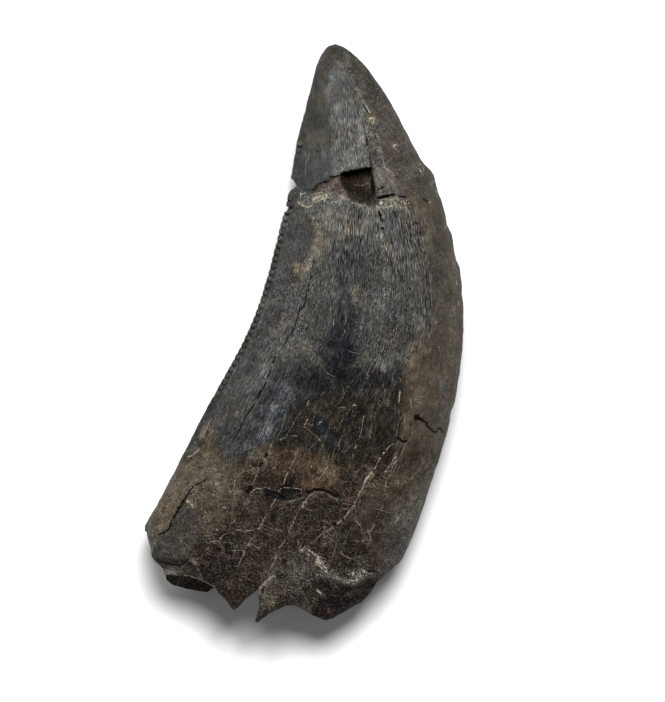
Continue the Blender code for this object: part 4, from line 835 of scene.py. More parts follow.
# the patches where the grain shows most: centre, half axes, tilt, strength
STREAKED = (
    (345, 110, 12, 40, -4, 0.6), (404, 245, 20, 40, -8, 1.0), (348, 250, 20, 26, 0, 1.0),
    (370, 222, 40, 16, 0, 0.9), (338, 310, 14, 44, 4, 0.8), (350, 120, 14, 50, -6, 0.8),
    (312, 150, 16, 40, 8, 0.6), (378, 380, 26, 24, 0, 0.7), (355, 425, 60, 34, 6, 0.6),
    (310, 466, 50, 26, 0, 0.5), (430, 300, 18, 110, 0, 0.7), (405, 460, 30, 40, 0, 0.6),
    (250, 400, 30, 50, -28, 0.5),
)
# and those that shine
GLOSSY = (
    (274, 418, 9, 22, -24, 0.8), (288, 388, 10, 10, -20, 0.5), (345, 120, 18, 44, 0, 0.5),
    (250, 436, 16, 14, -28, 0.5), (240, 392, 14, 30, -32, 0.4),
)
# The underside
LOWER_ZONES = (
    (((-30, -9.5), (-9.0, -10.5), (-3.0, -8.0), (2.0, -10.0), (9.0, -6.5), (30, -8.0), (30, 40),
      (-30, 40)), ENAMEL_GREY, 0.5, 1.0, 1.0),
    (((10.5, -8.0), (12.5, 0.0), (12.0, 8.0), (8.5, 20.0), (4.0, 30.0), (30, 30), (30, -30),
      (6.0, -30.0), (9.0, -16.0)), MESIAL_BROWN, 0.5, 0.9, 0.45),
    (((-4.0, -6.0), (3.0, -8.0), (6.0, -1.0), (2.0, 5.0), (-3.0, 3.0)), (48, 47, 46),
     0.9, 0.8, 1.0),
    (((-12.0, -12.0), (-4.0, -11.0), (4.0, -13.0), (6.0, -18.0), (-6.0, -20.0)), UMBER,
     1.2, 0.6, 1.2),
    (((-18.0, -12.0), (-12.0, -13.0), (-9.5, -19.0), (-13.0, -26.0), (-18, -26)), OLIVE_BROWN,
     0.8, 0.8, 0.8),
    (((3.0, -2.0), (6.5, -1.0), (8.2, 2.5), (7.4, 6.5), (4.6, 7.6), (2.6, 4.2)), BARE_DENTINE,
     0.15, 0.9, 0.5),
    (((-1.5, 13.0), (3.0, 13.4), (4.6, 14.6), (2.5, 15.6), (-1.5, 15.2)), (98, 88, 82),
     0.15, 0.9, 0.7),
    (((0.5, 15.0), (6.0, 15.5), (5.0, 22.0), (3.0, 27.0), (1.5, 24.0)), (92, 92, 89),
     0.7, 0.7, 0.6),
)
LOWER_CRACKS = (
    (((-1.3, 14.5), (0.4, 14.9), (1.8, 14.2), (3.2, 14.3), (4.4, 14.9), (6.0, 14.2), (7.4, 14.3),
      (8.8, 14.9), (10.2, 14.6), (11.6, 14.0), (13.6, 14.1)), 0.10, 0.45),
    (((-8.2, -21.5), (-7.3, -18.2), (-6.6, -15.0), (-5.6, -12.2), (-3.9, -8.0), (-3.3, -5.2),
      (-1.6, -1.5), (-1.1, 2.5), (-0.2, 5.5)), 0.09, 0.35),
    (((9.2, -3.0), (10.3, -1.2), (10.0, 1.4), (10.9, 4.0)), 0.07, 0.2),
    (((-3.0, -17.4), (-0.4, -16.6), (1.6, -17.3), (4.0, -16.5), (6.4, -17.1)), 0.08, 0.25),
)
LOWER_VEINS = (
    (((-5.4, -9.5), (-6.2, -13.0), (-8.4, -17.0), (-9.4, -21.5), (-10.6, -25.0)), 0.06, 0.02),
    (((0.6, -9.8), (-0.2, -13.5), (-2.0, -17.5), (-3.0, -22.0)), 0.06, 0.02),
    (((6.8, -8.4), (5.8, -12.2), (4.4, -16.0), (3.6, -21.0), (2.0, -26.0)), 0.07, 0.02),
    (((9.4, -10.5), (8.6, -14.0), (7.0, -18.0), (6.6, -22.5)), 0.05, 0.02),
    (((-10.2, -12.0), (-8.0, -13.4), (-6.4, -13.0), (-3.8, -14.4)), 0.04, 0.01),
    (((1.2, -20.5), (3.4, -19.4), (5.2, -20.2), (7.4, -19.0)), 0.04, 0.01),
)

VEIN_COLOUR = (124, 110, 98)
HAIR_COLOURS = ((80, 70, 60), (134, 120, 108))
# the black of the cracks, also used for painted shade in the slots of the serrated edge and along
# the valley under the lump
CRACK_AND_SHADE_COLOUR = (12, 9, 8)
DUST_COLOUR = (140, 130, 116)
CRUST_COLOUR = (204, 199, 184)
END_COLOUR = (54, 47, 38)
END_PALE = (112, 104, 90)
ROOT_CONTRAST = 1.3             # contrast of the markings where no zone lies, and on the end
END_CONTRAST = 1.2
PALE_SPECK = 0.012              # what each stop above a tint adds to it, however dark it is
LIT = 1.50                      # how much brighter the lights show a tint than it is
VEIL = 0.008                    # the reflection that they add to it
DARKEST = 0.0012                # and the least that is left of a tint without it

# Noises of the tints: scale, octaves, seed
SLOW_TINT = (2.2, 3, 7)
QUICK_TINT = (0.7, 3, 8)
END_TINT = (1.5, 3, 21)
END_LEVELS = (0.1, 0.8)         # levels of its noise between which the end turns pale
ZONE_RAGGED = (0.5, 0.8)        # shares of the slow and quick noise in the edges of the zones
TINT_MOTTLE = (0.08, 0.10)      # and in the tints
SPOT_WANDER = 0.3               # how far the spots' outlines stray
SPOT_MOTTLE = 0.8
SPOT_FALL = 1.3                 # how suddenly a spot ends
ENAMEL_EDGE = 0.8               # half widths of soft edges
CREAM_EDGE = 0.25
BARE_EDGE = (-0.1, 0.2)

# Areas that the scattered marks and the crust lie in
ROOT_AREA = from_picture((150, 500), (176, 462), (232, 466), (262, 486), (330, 492), (352, 470),
                         (380, 450), (410, 440), (436, 452), (425, 500), (395, 560), (350, 600),
                         (160, 600))
BROKEN_EDGE = from_picture((206, 566), (262, 572), (286, 560), (312, 548), (338, 556), (372, 560),
                           (380, 572), (352, 584), (326, 584), (312, 600), (300, 606),
                           (264, 624), (236, 618), (206, 590))
TIP_EDGE = from_picture((350, 62), (372, 78), (400, 140), (424, 180), (436, 240), (400, 206),
                        (398, 176), (372, 112))
MESIAL_EDGE = from_picture((420, 200), (446, 250), (462, 320), (458, 420), (430, 470), (404, 440),
                           (418, 360), (436, 300))
WORN_AREA = from_picture((300, 404), (330, 384), (350, 364), (398, 352), (401, 420), (392, 440),
                         (352, 478), (320, 488), (262, 488), (276, 446))
CREAM_LEFT = from_picture((310, 196), (318, 192.5), (329, 192.5), (337, 196), (346, 199),
                          (345, 205), (336, 206), (328, 203), (318, 203), (311, 206))
CREAM_RIGHT = from_picture((376, 200), (392, 197.5), (410, 199.5), (408, 211), (392, 210),
                           (376, 211))
CREAM_FOLD = from_picture((329, 572), (336, 576), (345, 577), (349, 571), (358, 566),
                          (367, 567), (370, 573), (362, 580), (350, 584), (338, 580))
CRUST_REACH = 0.40              # how far from its route the crust spreads
CREAM_STRENGTH = 0.72           # how strong it is in the cream areas

# Small marks scattered in an area: seed, count, area, headings as degrees and the most that a
# mark strays from them, lengths, half widths
SCATTERED = (
    # pale scratches of the root
    (5, 260, ROOT_AREA, ((-18, 16), (-18, 16), (62, 10), (90, 90)), (0.4, 2.2), (0.012, 0.032)),
    # tan ones along the lower crown
    (6, 46, WORN_AREA, ((67, 5),), (1.2, 3.6), (0.012, 0.026)),
    # crumbs of crust on the broken edge
    (7, 110, BROKEN_EDGE, ((0, 90),), (0.05, 0.35), (0.025, 0.060)),
    # specks beside the tip
    (8, 90, TIP_EDGE, ((0, 90),), (0.02, 0.16), (0.030, 0.060)),
    # scuffs down the mesial side
    (9, 70, MESIAL_EDGE, ((80, 14), (80, 14), (20, 30)), (0.1, 0.9), (0.018, 0.034)),
)


def linear(colour):
    """Linear RGB from 8-bit sRGB, for one colour or an array of them."""
    share = np.asarray(colour, dtype=float) / 255.0
    return np.where(share <= 0.04045, share / 12.92, ((share + 0.055) / 1.055) ** 2.4)


def rgba(colour):
    """A shader colour from 8-bit sRGB."""
    return tuple(float(value) for value in linear(colour)) + (1.0,)


# ---------------------------------------------------------------------------------------------
# The loft's arithmetic
# ---------------------------------------------------------------------------------------------
def smooth_step(value, low, high):
    """0 below low, 1 above high, and an S-curve between."""
    t = np.clip((value - low) / (high - low), 0.0, 1.0)
    return t * t * (3.0 - 2.0 * t)


def lengths_along(points):
    """How far along a line of points each of them is."""
    return np.concatenate([[0.0], np.cumsum(np.hypot(*np.diff(points, axis=0).T))])


def station_values(k):
    """The columns of STATIONS at fractional station numbers k, on a Catmull-Rom curve."""
    table = np.array(STATIONS, dtype=float)
    reach = np.arange(ROOT_REACH + 1, 0, -1)[:, None]
    root = table[0] + reach * (table[0] - table[1])
    beyond = 2.0 * table[-1] - table[-2]
    table = np.vstack([root, table, beyond[None, :]])
    place = np.clip(np.asarray(k, dtype=float) + ROOT_REACH + 1, 1.0, len(table) - 2 - TINY)
    index = np.floor(place).astype(int)
    t = (place - index)[..., None]
    before, here, there, after = (table[index + offset] for offset in (-1, 0, 1, 2))
    return 0.5 * (2.0 * here + (there - before) * t
                  + (2.0 * before - 5.0 * here + 4.0 * there - after) * t ** 2
                  + (3.0 * here - 3.0 * there + after - before) * t ** 3)


def section_height(across, blade_power):
    """Height of a section, 0 to 1, at across from -1 (distal edge) to 1 (mesial edge)."""
    peak = (blade_power - MESIAL_POWER) / (blade_power + MESIAL_POWER)
    mesial = np.clip(1.0 - across, 0.0, 2.0) / (1.0 - peak)
    distal = np.clip(1.0 + across, 0.0, 2.0) / (1.0 + peak)
    height = mesial ** MESIAL_POWER * distal ** blade_power
    return height * (1.0 + CROWN_FLATTENING - CROWN_FLATTENING * height ** 2)


def blade_power(k, side):
    """How blade-like the distal edge is at station k, on the upper (1) or lower (-1) face."""
    powers = UPPER_BLADE_POWERS if side > 0 else LOWER_BLADE_POWERS
    return np.interp(k, BLADE_STATIONS, powers)


def section_lengths(crowding=0.0):
    """Places across a middle section, mesial to distal, and the length of skin up to each."""
    across = np.cos(np.linspace(0.0, math.pi, SECTION_SAMPLES))
    middle = station_values(TIP / 2)
    half_width = 0.5 * math.hypot(middle[2] - middle[0], middle[3] - middle[1])
    height = middle[5] * section_height(across, max(UPPER_BLADE_POWERS))
    steps = np.hypot(np.diff(across * half_width), np.diff(height))
    from_edge = half_width * (1.0 + across)
    weight = 1.0 + crowding * np.exp(-(from_edge[1:] / CROWDING_REACH) ** 2)
    return across, np.concatenate([[0.0], np.cumsum(steps * weight)])


def column_places():
    """Places across one face, from 1 (mesial) to -1 (distal), closest at the serrated edge."""
    across, length = section_lengths(EDGE_CROWDING)
    return np.interp(np.linspace(0.0, length[-1], HALF_COLUMNS + 1), length, across)


def row_stations():
    """Station numbers of the rows, equally spaced along the serrated edge, and those spacings."""
    k = np.linspace(0.0, TIP, EDGE_SAMPLES)
    length = lengths_along(station_values(k)[:, :2])
    step = DENTICLE_PITCH / ROWS_PER_DENTICLE
    rows = int(length[-1] / step)
    along = np.append(np.arange(rows) * step, length[-1])
    return np.interp(along, length, k), along


def break_points(outline):
    """Points on the break for the columns of one face, mesial to distal, that keep its corners."""
    points = np.array(outline[::-1])
    length = lengths_along(points)
    share = length / length[-1]
    corner_columns = np.maximum.accumulate(np.round(share * HALF_COLUMNS))
    place = np.interp(np.arange(HALF_COLUMNS + 1), corner_columns, share)
    return np.stack([np.interp(place, share, points[:, 0]),
                     np.interp(place, share, points[:, 1])], axis=1)


def station_of(x, y, highest):
    """The station whose chord passes through each (x, y), found by halving."""
    low = np.full_like(x, -float(ROOT_REACH))
    high = highest + 0.5
    for _ in range(HALVINGS):
        middle = 0.5 * (low + high)
        values = station_values(middle)
        chord_x = values[..., 2] - values[..., 0]
        chord_y = values[..., 3] - values[..., 1]
        tipward = chord_x * (y - values[..., 1]) - chord_y * (x - values[..., 0])
        low = np.where(tipward > 0.0, middle, low)
        high = np.where(tipward > 0.0, high, middle)
    return 0.5 * (low + high)


def edge_offsets(along, y):
    """How far each row's two edges stand out, and the strength of the denticle gap there."""
    phase = along / DENTICLE_PITCH
    phase = phase - np.round(phase)
    gap = np.exp(-(phase / GAP_SHARE) ** 2) * np.interp(y, DENTICLE_FADE_Y, DENTICLE_FADE)
    line = np.stack([along, 0.0 * along, 0.0 * along], axis=-1)
    distal, mesial = (
        np.interp(y, *zip(*chips)) + EDGE_ROUGHNESS * noise_values(line, EDGE_SCALE, 3, seed)
        for chips, seed in ((DISTAL_CHIPS, DISTAL_SEED), (MESIAL_CHIPS, MESIAL_SEED)))
    return gap, distal, mesial + MESIAL_FULLNESS


def route_distance(x, y, route):
    """Distance from each (x, y) to a line through the route's points, below zero on its right,
    and how far along the line the nearest place is, as a share."""
    nearest = np.full(x.shape, np.inf)
    signed = np.full(x.shape, np.inf)
    place = np.zeros(x.shape)
    lengths = [math.dist(a, b) for a, b in zip(route[:-1], route[1:])]
    total = sum(lengths)
    passed = 0.0
    for (ax, ay), (bx, by), length in zip(route[:-1], route[1:], lengths):
        run_x, run_y = bx - ax, by - ay
        share = ((x - ax) * run_x + (y - ay) * run_y) / (run_x ** 2 + run_y ** 2)
        share = np.clip(share, 0.0, 1.0)
        distance = np.hypot(x - ax - share * run_x, y - ay - share * run_y)
        left = np.sign(run_x * (y - ay) - run_y * (x - ax))
        closer = distance < nearest
        nearest = np.where(closer, distance, nearest)
        signed = np.where(closer, distance * np.where(left == 0.0, 1.0, left), signed)
        place = np.where(closer, (passed + share * length) / total, place)
        passed += length
    return signed, place


def depth_inside(x, y, outline):
    """Distance to a closed outline, above zero inside it and below zero outside."""
    closed = tuple(outline) + (outline[0],)
    inside = np.zeros(x.shape, dtype=bool)
    for (ax, ay), (bx, by) in zip(closed[:-1], closed[1:]):
        crosses = (ay > y) != (by > y)
        rise = (by - ay) if by != ay else TINY
        inside ^= crosses & (x < (bx - ax) * (y - ay) / rise + ax)
    distance = np.abs(route_distance(x, y, closed)[0])
    return np.where(inside, distance, -distance)


def noise_values(points, scale, octaves, seed):
    """Fractal noise at each point, about -1 to 1, with features scale millimetres across."""
    shift = Vector([step * seed for step in SEED_STEP])
    flat = (points / scale).reshape(-1, 3)
    values = np.array([noise.fractal(Vector(place) + shift, *FRACTAL, octaves) for place in flat])
    return values.reshape(points.shape[:-1])


def wandered(x, y):
    """Places shifted a little at random, so that straight routes measured there run jagged."""
    places = np.stack([x, y, np.zeros(x.shape)], axis=-1)
    shift_x, shift_y = (WANDER * noise_values(places, WANDER_SCALE, 3, seed)
                        for seed in WANDER_SEEDS)
    return x + shift_x, y + shift_y


def ragged(outline):
    """An outline's points, each a little off its place."""
    places = np.column_stack([outline, np.zeros(len(outline))])
    return outline + RIM_ROUGHNESS * np.stack([noise_values(places, RIM_SCALE, 3, seed)
                                               for seed in RIM_SEEDS], axis=1)


def hole_share(x, y):
    """How deep the hole is at each place, 0 to 1, with its sides sloping by HOLE_SIDES."""
    share = np.ones(x.shape)
    for (ax, ay), (bx, by), slope in zip(HOLE, HOLE[1:] + HOLE[:1], HOLE_SIDES):
        run_x, run_y = bx - ax, by - ay
        inside = (run_y * (x - ax) - run_x * (y - ay)) / math.hypot(run_x, run_y)
        share = np.minimum(share, smooth_step(inside, 0.0, slope))
    return share


def relief(x, y, side):
    """How far the patches and cracks of a face sink below its smooth surface."""
    patches = UPPER_PATCHES if side > 0 else LOWER_PATCHES
    cracks = UPPER_CRACKS if side > 0 else LOWER_CRACKS
    depth = np.zeros(x.shape)
    jagged_x, jagged_y = wandered(x, y)
    if side > 0:
        depth += HOLE_DEPTH * hole_share(jagged_x, jagged_y)
    for outline, sink, slope in patches:
        inside = depth_inside(jagged_x, jagged_y, outline)
        depth += sink * smooth_step(inside, SLOPE_FROM * slope, SLOPE_TO * slope)
    for route, half_width, sink in cracks:
        signed, place = route_distance(jagged_x, jagged_y, route)
        taper = smooth_step(0.5 - np.abs(place - 0.5), 0.0, GROOVE_TAPER)
        reach = half_width + GROOVE_SHOULDER
        depth += sink * taper * np.clip(1.0 - np.abs(signed) / reach, 0.0, 1.0)
    return depth


def unevenness(x, y, z):
    """Slow random unevenness of the surface, the same as the CAD solid's."""
    strength = ROOT_ROUGHNESS + (CROWN_ROUGHNESS - ROOT_ROUGHNESS) * smooth_step(y, *ROOT_Y)
    places = np.stack([x, ROUGHNESS_STRETCH * y, z], axis=-1)
    return strength * noise_values(places, ROUGHNESS_SCALE, 3, UNEVEN_SEED)


def fine_roughness(x, y, z):
    """Small pits and grain, stronger on the root."""
    strength = FINE_ROOT + (FINE_CROWN - FINE_ROOT) * smooth_step(y, *ROOT_Y)
    return strength * noise_values(np.stack([x, y, z], axis=-1), FINE_SCALE, 2, FINE_SEED)


# ---------------------------------------------------------------------------------------------
# The grids of points
# ---------------------------------------------------------------------------------------------
def bent_plan(side, stations, values, across):
    """Each point of a face in plan, bent at the root to follow the break, and the break."""
    distal, mesial = values[:, :2], values[:, 2:4]
    half_chord = 0.5 * (mesial - distal)
    plan = 0.5 * (mesial + distal)[:, None, :] + across[None, :, None] * half_chord[:, None, :]
    bend = np.clip(1.0 - stations / BREAK_STATIONS, 0.0, 1.0) ** BREAK_EASE
    broken = ragged(break_points(UPPER_BREAK if side > 0 else LOWER_BREAK))
    return plan + bend[:, None, None] * (broken - plan[0])[None, :, :], broken


def bent_stations(plan, stations, across):
    """Each point's station once the plan is bent, the loft's values there, and the point's place
    across that section."""
    k = np.repeat(stations[:, None], len(across), axis=1)
    k = np.where(k < BREAK_STATIONS, station_of(plan[..., 0], plan[..., 1], k), k)
    local = station_values(k)
    chord = 0.5 * (local[..., 2:4] - local[..., :2])
    centre = 0.5 * (local[..., 2:4] + local[..., :2])
    c = np.sum((plan - centre) * chord, axis=-1) / np.maximum(np.sum(chord ** 2, axis=-1), TINY)
    return k, local, np.where(k < BREAK_STATIONS, np.clip(c, -1.0, 1.0), across[None, :])


def serrated(plan, values, along, across):
    """The plan's x and y with the gaps and chips of its edges, how far in from the serrated edge
    each point is, and how far the grooves between the denticles sink it."""
    gap, distal_chip, mesial_chip = edge_offsets(along, values[:, 1])
    half_chord = 0.5 * (values[:, 2:4] - values[:, :2])
    width = np.hypot(half_chord[:, 0], half_chord[:, 1])[:, None]
    outward = half_chord / np.maximum(width, TINY)
    from_distal = width * (1.0 + across[None, :])
    from_mesial = width * (1.0 - across[None, :])
    shift = DENTICLE_DEPTH * gap[:, None] * np.exp(-(from_distal / DENTICLE_REACH) ** 2)
    shift = shift - distal_chip[:, None] * np.exp(-(from_distal / CHIP_REACH) ** 2)
    shift = shift + mesial_chip[:, None] * np.exp(-(from_mesial / CHIP_REACH) ** 2)
    x = plan[..., 0] + shift * outward[:, 0:1]
    y = plan[..., 1] + shift * outward[:, 1:2]
    on_face = 1.0 - np.exp(-(from_distal / GROOVE_START) ** 2)
    on_face = on_face * np.exp(-(from_distal / GROOVE_REACH) ** 2)
    return x, y, from_distal, DENTICLE_GROOVE * gap[:, None] * on_face


def skin_places(side, k, c, stations, values):
    """Each point's place across and along the skin, in millimetres, for the grain to follow."""
    places, length = section_lengths()
    skin = np.interp(-c, -places, length / length[-1]) * SKIN_WIDTH
    run = lengths_along(0.5 * (values[:, :2] + values[:, 2:4]))
    root_run = (run[1] - run[0]) / (stations[1] - stations[0])
    length_along = np.where(k >= 0.0, np.interp(k, stations, run), k * root_run)
    return np.stack([skin, length_along, np.full(skin.shape, FACES_APART * side)], axis=-1)


def face_grid(side):
    """One face, rows by columns: its points, their places across and along the skin, and their
    places along the serrated edge, in from it, and the strength of its slots."""
    stations, along = row_stations()
    values = station_values(stations)
    across = column_places()
    plan, broken = bent_plan(side, stations, values, across)
    k, local, c = bent_stations(plan, stations, across)
    x, y, from_distal, grooves = serrated(plan, values, along, across)

    bulge = section_height(c, blade_power(k, side))
    off_edge = smooth_step(bulge, 0.0, RELIEF_FADE)
    rise = local[..., 5] if side > 0 else local[..., 6]
    z = local[..., 4] + side * rise * bulge
    to_rim = np.hypot(*(np.stack([x, y]) - broken.T[:, None, :]))
    depth = relief(plan[..., 0], plan[..., 1], side) * off_edge + grooves
    depth = depth + RIM_ROUND * np.clip(1.0 - to_rim / RIM_ROUND_REACH, 0.0, 1.0) ** 2
    depth = depth + (unevenness(x, y, z) + fine_roughness(x, y, z)) * off_edge
    points = np.stack([x, y, z - side * np.minimum(depth, DEEPEST * rise * bulge)], axis=-1)

    slots = np.interp(values[:, 1], DENTICLE_FADE_Y, DENTICLE_FADE)
    edge = np.stack([np.repeat(along[:, None] / DENTICLE_PITCH, len(across), axis=1),
                     from_distal, np.repeat(slots[:, None], len(across), axis=1)], axis=-1)
    return points, skin_places(side, k, c, stations, values), edge


def end_grid(upper_rim, lower_rim):
    """Points of the broken end between the rims, each row one step further down."""
    share = np.linspace(0.0, 1.0, END_ROWS + 1)[1:-1, None, None]
    points = upper_rim[None] + share * (lower_rim - upper_rim)[None]
    height = upper_rim[:, 2] - lower_rim[:, 2]
    recess = END_RECESS * smooth_step(height, *RECESS_HEIGHTS)
    rough = noise_values(points, *END_LUMPS) + END_GRIT_SHARE * noise_values(points, *END_GRIT)
    hollow = np.sin(math.pi * share[:, :, 0]) ** 0.5
    rough = END_ROUGHNESS * rough * smooth_step(height, *END_ROUGH_HEIGHTS)
    return points + (recess[None, :] * hollow + rough)[..., None] * np.array(TIPWARD)


# ---------------------------------------------------------------------------------------------
# What each point of the surface carries for the shader
# ---------------------------------------------------------------------------------------------
def spot_share(x, y, spot, tilt):
    """How far inside an elliptical spot each point is: 1 at its centre, 0 well outside it."""
    px, py, half_width, half_height = spot
    (cx, cy), = from_picture((px, py))
    turn = math.radians(tilt)
    along_x = (x - cx) * math.cos(turn) + (y - cy) * math.sin(turn)
    along_y = (y - cy) * math.cos(turn) - (x - cx) * math.sin(turn)
    reach = (along_x / (half_width * PIXEL)) ** 2 + (along_y / (half_height * PIXEL)) ** 2
    return np.exp(-reach ** SPOT_FALL)


def line_field(x, y, routes):
    """Signed distance to the nearest of some lines, that line's half width there, and its third
    value."""
    best = np.full(x.shape, LINE_REACH)
    width = np.zeros(x.shape)
    kind = np.zeros(x.shape)
    for route, half_width, third in routes:
        low, high = np.min(route, axis=0) - LINE_REACH, np.max(route, axis=0) + LINE_REACH
        near = np.flatnonzero((x > low[0]) & (x < high[0]) & (y > low[1]) & (y < high[1]))
        signed, place = route_distance(x[near], y[near], route)
        taper = smooth_step(0.5 - np.abs(place - 0.5), *LINE_TAPER)
        closer = np.abs(signed) - half_width < np.abs(best[near]) - width[near]
        closer &= (place > 0.0) & (place < 1.0)
        near = near[closer]
        best[near] = signed[closer]
        width[near] = half_width * taper[closer]
        kind[near] = third
    width = width * (np.abs(best) < LINE_BAND + width)
    return np.clip(best, -LINE_REACH, LINE_REACH), width, kind


def strokes(seed, count, outline, headings, lengths, widths):
    """Short bent lines scattered inside an outline: routes as line_field takes them."""
    chooser = random.Random(seed)
    xs, ys = zip(*outline)
    made = []
    while len(made) < count:
        x, y = chooser.uniform(min(xs), max(xs)), chooser.uniform(min(ys), max(ys))
        middle, stray = chooser.choice(headings)
        angle = math.radians(middle + chooser.uniform(-stray, stray))
        pieces = chooser.randint(*STROKE_PIECES)
        step = chooser.uniform(*lengths) / pieces
        half_width = chooser.uniform(*widths)
        third = chooser.random()
        route = [(x, y)]
        for _ in range(pieces):
            angle += chooser.uniform(-STROKE_BEND, STROKE_BEND)
            x, y = x + step * math.cos(angle), y + step * math.sin(angle)
            route.append((x, y))
        if depth_inside(np.array([x]), np.array([y]), outline)[0] > 0.0:
            made.append((tuple(route), half_width, third))
    return tuple(made)


def tinted(points, zones, spots):
    """The colour of each point and its contrast, from zones and spots laid over each other."""
    x, y = points[:, 0], points[:, 1]
    slow = noise_values(points, *SLOW_TINT)
    quick = noise_values(points, *QUICK_TINT)
    ragged_by = ZONE_RAGGED[0] * slow + ZONE_RAGGED[1] * quick
    colour = np.tile(np.array(ROOT_BROWN + (ROOT_CONTRAST,), dtype=float), (len(x), 1))
    for outline, zone_colour, soft, strength, contrast in zones:
        edge = depth_inside(x, y, outline) + soft * ragged_by
        share = (strength * smooth_step(edge, -soft, soft))[:, None]
        colour = colour + share * (np.array(zone_colour + (contrast,)) - colour)
    moved_x, moved_y = x + SPOT_WANDER * slow, y + SPOT_WANDER * quick
    for *spot, tilt, hue, brightness, strength in spots:
        share = spot_share(moved_x, moved_y, spot, tilt)
        share = np.clip(strength * share * (1.0 + SPOT_MOTTLE * quick), 0.0, 1.0)[:, None]
        colour[:, :3] = colour[:, :3] + share * (brightness * np.array(hue) - colour[:, :3])
    colour[:, :3] *= (1.0 + TINT_MOTTLE[0] * slow + TINT_MOTTLE[1] * quick)[:, None]
    return colour


def line_fields(place, cracks, veins, hairs):
    """The fields of one face's cracks, veins and scattered marks, by name."""
    straight = place[:, 0], place[:, 1]
    jagged = wandered(*straight)
    fields = {}
    for name, routes, where, parts in (
            ("crack", cracks, jagged, ("", "_width")),
            ("vein", veins, jagged, ("", "_width", "_kind")),
            ("hair", hairs, straight, ("", "_width", "_kind"))):
        for part, values in zip(parts, line_field(*where, routes)):
            fields[name + part] = values
    return fields


def enamel_share(x, y, upper, end):
    """1 on the enamel, and 0 on the root, on the broken end and where the enamel is gone."""
    edge = np.where(upper, depth_inside(x, y, UPPER_ZONES[1][0]),
                    depth_inside(x, y, LOWER_ZONES[0][0]))
    bare = np.maximum(depth_inside(x, y, BARE_TIP), depth_inside(x, y, STRIP_LEFT))
    kept = 1.0 - smooth_step(bare, *BARE_EDGE) * upper
    return smooth_step(edge, -ENAMEL_EDGE, ENAMEL_EDGE) * ~end * kept


def crust_strength(x, y):
    """How thickly the cream crust lies: along its route, and in the cream areas."""
    from_route = np.abs(route_distance(*wandered(x, y), ENCRUSTATION)[0])
    cream = np.max([depth_inside(x, y, outline)
                    for outline in (CREAM_LEFT, CREAM_RIGHT, CREAM_FOLD)], axis=0)
    return np.maximum(np.exp(-(from_route / CRUST_REACH) ** 2),
                      CREAM_STRENGTH * smooth_step(cream, -CREAM_EDGE, CREAM_EDGE))


def surface_fields(points, side):
    """All that the shader reads: tint, lines, crust, gloss, and how enamel-like it is. Side is 1
    on the upper face, -1 on the lower and 0 on the broken end."""
    x, y = points[:, 0], points[:, 1]
    upper = side > 0.5
    lower = side < -0.5
    end = ~(upper | lower)
    fields = {name: np.zeros(len(x)) for name in
              ("crack", "crack_width", "vein", "vein_width", "vein_kind",
               "hair", "hair_width", "hair_kind", "crust", "enamel", "gloss", "streaked")}
    tint = np.tile(np.array(END_COLOUR + (END_CONTRAST,), dtype=float), (len(x), 1))
    hairs = sum((strokes(*row) for row in SCATTERED), ())
    for chosen, cracks, veins, zones, spots in (
            (upper, UPPER_CRACKS, UPPER_VEINS, UPPER_ZONES, UPPER_SPOTS),
            (lower, LOWER_CRACKS, LOWER_VEINS, LOWER_ZONES, ())):
        for name, values in line_fields(points[chosen], cracks, veins, hairs).items():
            fields[name][chosen] = values
        tint[chosen] = tinted(points[chosen], zones, spots)
    end_share = smooth_step(noise_values(points[end], *END_TINT)[:, None], *END_LEVELS)
    tint[end, :3] += end_share * (np.array(END_PALE) - tint[end, :3])

    fields["enamel"] = enamel_share(x, y, upper, end)
    for name, spots in (("gloss", GLOSSY), ("streaked", STREAKED)):
        for *spot, tilt, strength in spots:
            fields[name] += strength * spot_share(x, y, spot, tilt) * upper
    fields["crust"] = upper * crust_strength(x, y)
    lit = np.maximum(linear(np.clip(tint[:, :3], 0.0, 255.0)) - VEIL, DARKEST) / LIT
    fields["tint"] = np.concatenate([lit, tint[:, 3:]], axis=1)
    return fields


# ---------------------------------------------------------------------------------------------
# The piece
# ---------------------------------------------------------------------------------------------
def ring_of(upper, lower):
    """Both faces' grids as one ring of columns, with each edge in it once."""
    return np.concatenate([upper, lower[:, -2:0:-1]], axis=1)


def listed(ring, end):
    """The values of the ring's points row by row, the tip's once, then the broken end's."""
    return np.concatenate([ring[:-1].reshape(-1, 3), ring[-1:, 0], end])


def tooth_faces(rows, columns, end_shape):
    """The corners of every face, wound so that its normal points out of the tooth."""
    index = np.arange(rows * columns).reshape(rows, columns)
    after = np.roll(index, -1, axis=1)
    quads = np.stack([index[:-1], index[1:], after[1:], after[:-1]], axis=-1).reshape(-1, 4)
    tip = rows * columns
    faces = quads.tolist() + [[b, a, tip] for a, b in zip(index[-1], after[-1])]
    upper_rim = index[0, :HALF_COLUMNS + 1]
    lower_rim = np.concatenate([[index[0, 0]], index[0, :HALF_COLUMNS - 1:-1]])
    inner = tip + 1 + np.arange(math.prod(end_shape)).reshape(end_shape)
    ladder = [upper_rim]
    ladder += [np.concatenate([[upper_rim[0]], row, [upper_rim[-1]]]) for row in inner]
    ladder.append(lower_rim)
    for above, below in zip(ladder[:-1], ladder[1:]):
        for j in range(HALF_COLUMNS):
            corners = (above[j], above[j + 1], below[j + 1], below[j])
            faces.append([int(v) for v in dict.fromkeys(corners)])
    return faces


def add_field(mesh, name, kind, values):
    """One attribute of the mesh's points."""
    attribute = mesh.attributes.new(name, kind, "POINT")
    key = {"FLOAT": "value", "FLOAT_VECTOR": "vector", "FLOAT_COLOR": "color"}[kind]
    attribute.data.foreach_set(key, np.asarray(values, dtype=np.float32).ravel())


